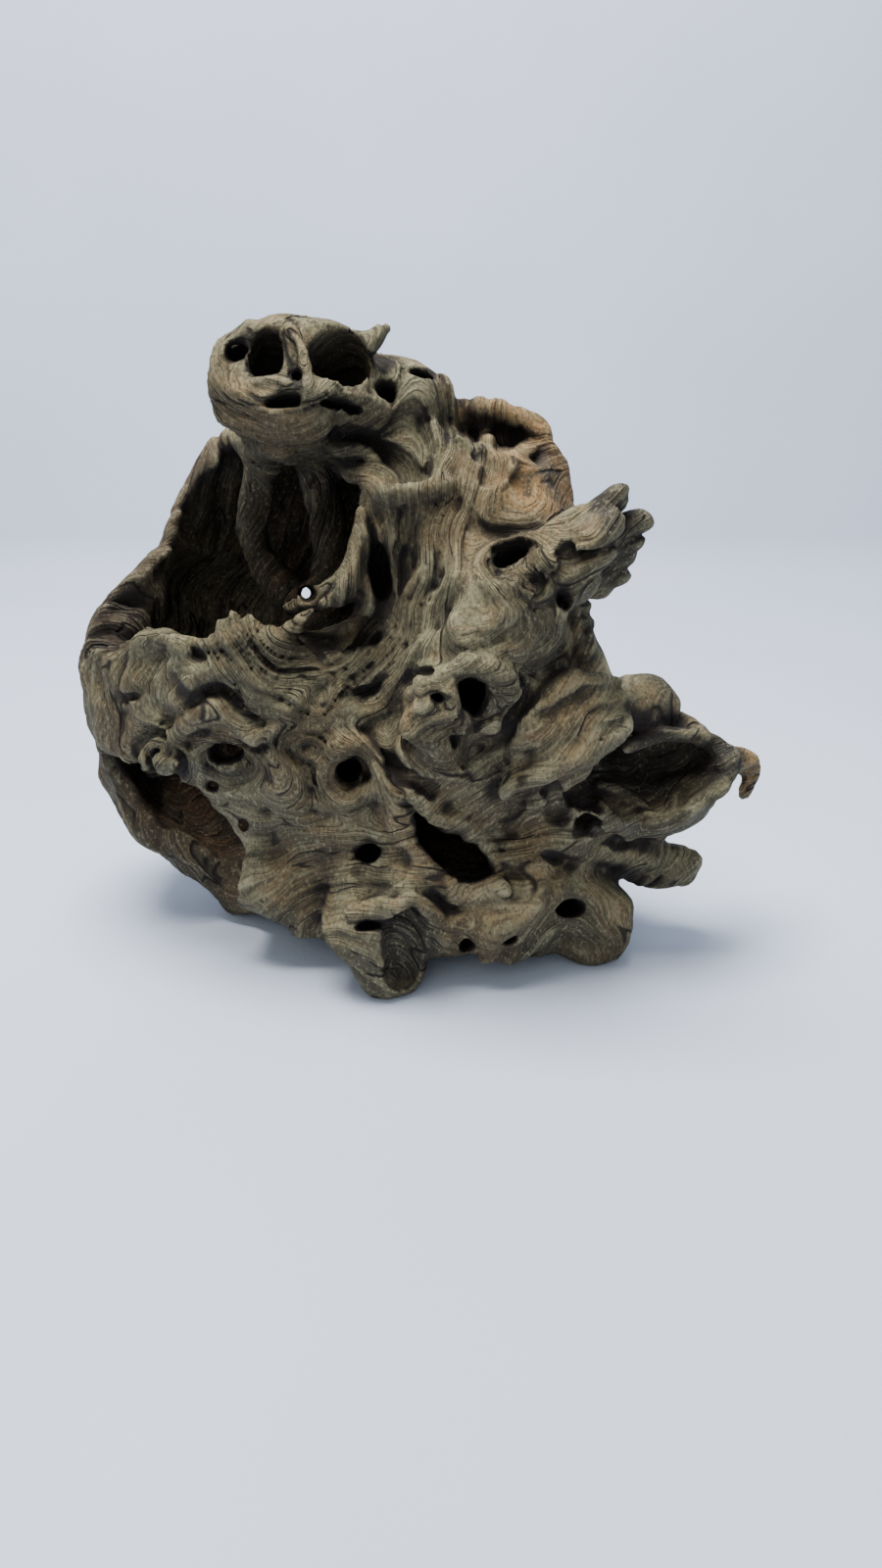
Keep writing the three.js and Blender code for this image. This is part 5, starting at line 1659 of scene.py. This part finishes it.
@dataclass(frozen=True)
class Lamp:
    """A square soft light.

    Attributes:
        name: Its name.
        at: Where it hangs, in metres.
        towards: What it points at.
        size: Its side, in metres.
        power: Its power in watts.
    """

    name: str
    at: Vec3
    towards: Vec3
    size: float
    power: float

    def build(self) -> None:
        """Hangs the lamp."""
        light = bpy.data.lights.new(self.name, "AREA")
        light.shape = "SQUARE"
        light.size = self.size
        light.energy = self.power
        obj = bpy.data.objects.new(self.name, light)
        obj.location = self.at
        aim = np.array(self.towards) - np.array(self.at)
        across = math.hypot(aim[0], aim[1])
        obj.rotation_euler = (math.atan2(across, -aim[2]), 0, math.atan2(-aim[0], aim[1]))
        bpy.context.scene.collection.objects.link(obj)


@dataclass(frozen=True)
class Studio:
    """The plain sheet, the soft light and the camera, none of them part of the wood.

    Attributes:
        half_width: Half the sheet's width, in metres.
        front: Where the sheet begins, in metres in front of the wood.
        wall_at: Where the sheet turns up behind the wood.
        wall_bend: The radius of that turn.
        wall_height: How high it goes.
        camera_at: Where the camera is.
        pitch: How far the camera looks down, in degrees.
        focal: Its focal length in pixels of the picture.
        picture_height: How many pixels high the picture is.
        sensor: The height of its sensor, in millimetres.
        clip_start: How near it sees, in metres.
        sky_colour: The colour of the light from all round.
        sky_strength: The strength of that light.
        lamps: The lamps.
        finish: The sheet's finish.
    """

    half_width: float = 3.0
    front: float = -2.5
    wall_at: float = 0.72
    wall_bend: float = 0.05
    wall_height: float = 2.2
    camera_at: Vec3 = (0.00929, -0.51402, 0.2771)
    pitch: float = 22.0
    focal: float = 1202.0
    picture_height: float = 1600.0
    sensor: float = 36.0
    clip_start: float = 0.01
    sky_colour: Colour = (0.86, 0.92, 1.0)
    sky_strength: float = 0.47
    lamps: tuple[Lamp, ...] = (
        Lamp("overhead", (-0.2, 0.0, 1.3), (0, 0, 0.1), 0.7, 36),
        Lamp("front_fill", (-0.5, -1.4, 0.9), (0, 0, 0.12), 1.0, 3),
    )
    finish: PaleCloth = field(default_factory=PaleCloth)

    def sheet(self) -> None:
        """Lays the sheet, with a rounded turn from floor to wall."""
        turn = np.linspace(0, math.pi / 2, 13)
        y = self.wall_at + self.wall_bend * np.sin(turn)
        z = self.wall_bend * (1 - np.cos(turn))
        side = [(self.front, 0.0), *zip(y, z), (y[-1], self.wall_height)]
        points = [(x, *p) for x in (-self.half_width, self.half_width) for p in side]
        n = len(side)
        faces = [(i, i + n, i + n + 1, i + 1) for i in range(n - 1)]
        mesh = bpy.data.meshes.new("sheet")
        mesh.from_pydata(points, [], faces)
        mesh.shade_smooth()
        obj = bpy.data.objects.new("sheet", mesh)
        bpy.context.scene.collection.objects.link(obj)
        mesh.materials.append(self.finish.make())

    def sky(self) -> None:
        """Sets the even light from all round."""
        world = bpy.data.worlds.new("soft_room")
        world.use_nodes = True
        back = world.node_tree.nodes["Background"]
        back.inputs["Color"].default_value = (*self.sky_colour, 1.0)
        back.inputs["Strength"].default_value = self.sky_strength
        bpy.context.scene.world = world

    def camera(self) -> None:
        """Places the camera, in front of the wood and above it."""
        lens = bpy.data.cameras.new("camera")
        lens.sensor_fit = "VERTICAL"
        lens.sensor_height = self.sensor
        lens.lens = self.focal / self.picture_height * self.sensor
        lens.clip_start = self.clip_start
        obj = bpy.data.objects.new("camera", lens)
        obj.location = self.camera_at
        obj.rotation_euler = (math.radians(90 - self.pitch), 0, 0)
        bpy.context.scene.collection.objects.link(obj)
        bpy.context.scene.camera = obj

    def build(self) -> None:
        """Sets up the sheet, the lights and the camera."""
        self.sheet()
        for lamp in self.lamps:
            lamp.build()
        self.sky()
        self.camera()
        LOG.info("studio: sheet, %d lamps and camera", len(self.lamps))


def main() -> None:
    """Builds the wood and the studio."""
    logging.basicConfig(level=logging.INFO, format="%(name)s: %(message)s")
    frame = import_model()
    LOG.info("frame: nodes %s", sorted(frame["nodes"]))
    wood = Driftwood()
    piece = wood.build()
    wood.dress(piece)
    Studio().build()


if __name__ == "__main__":
    main()
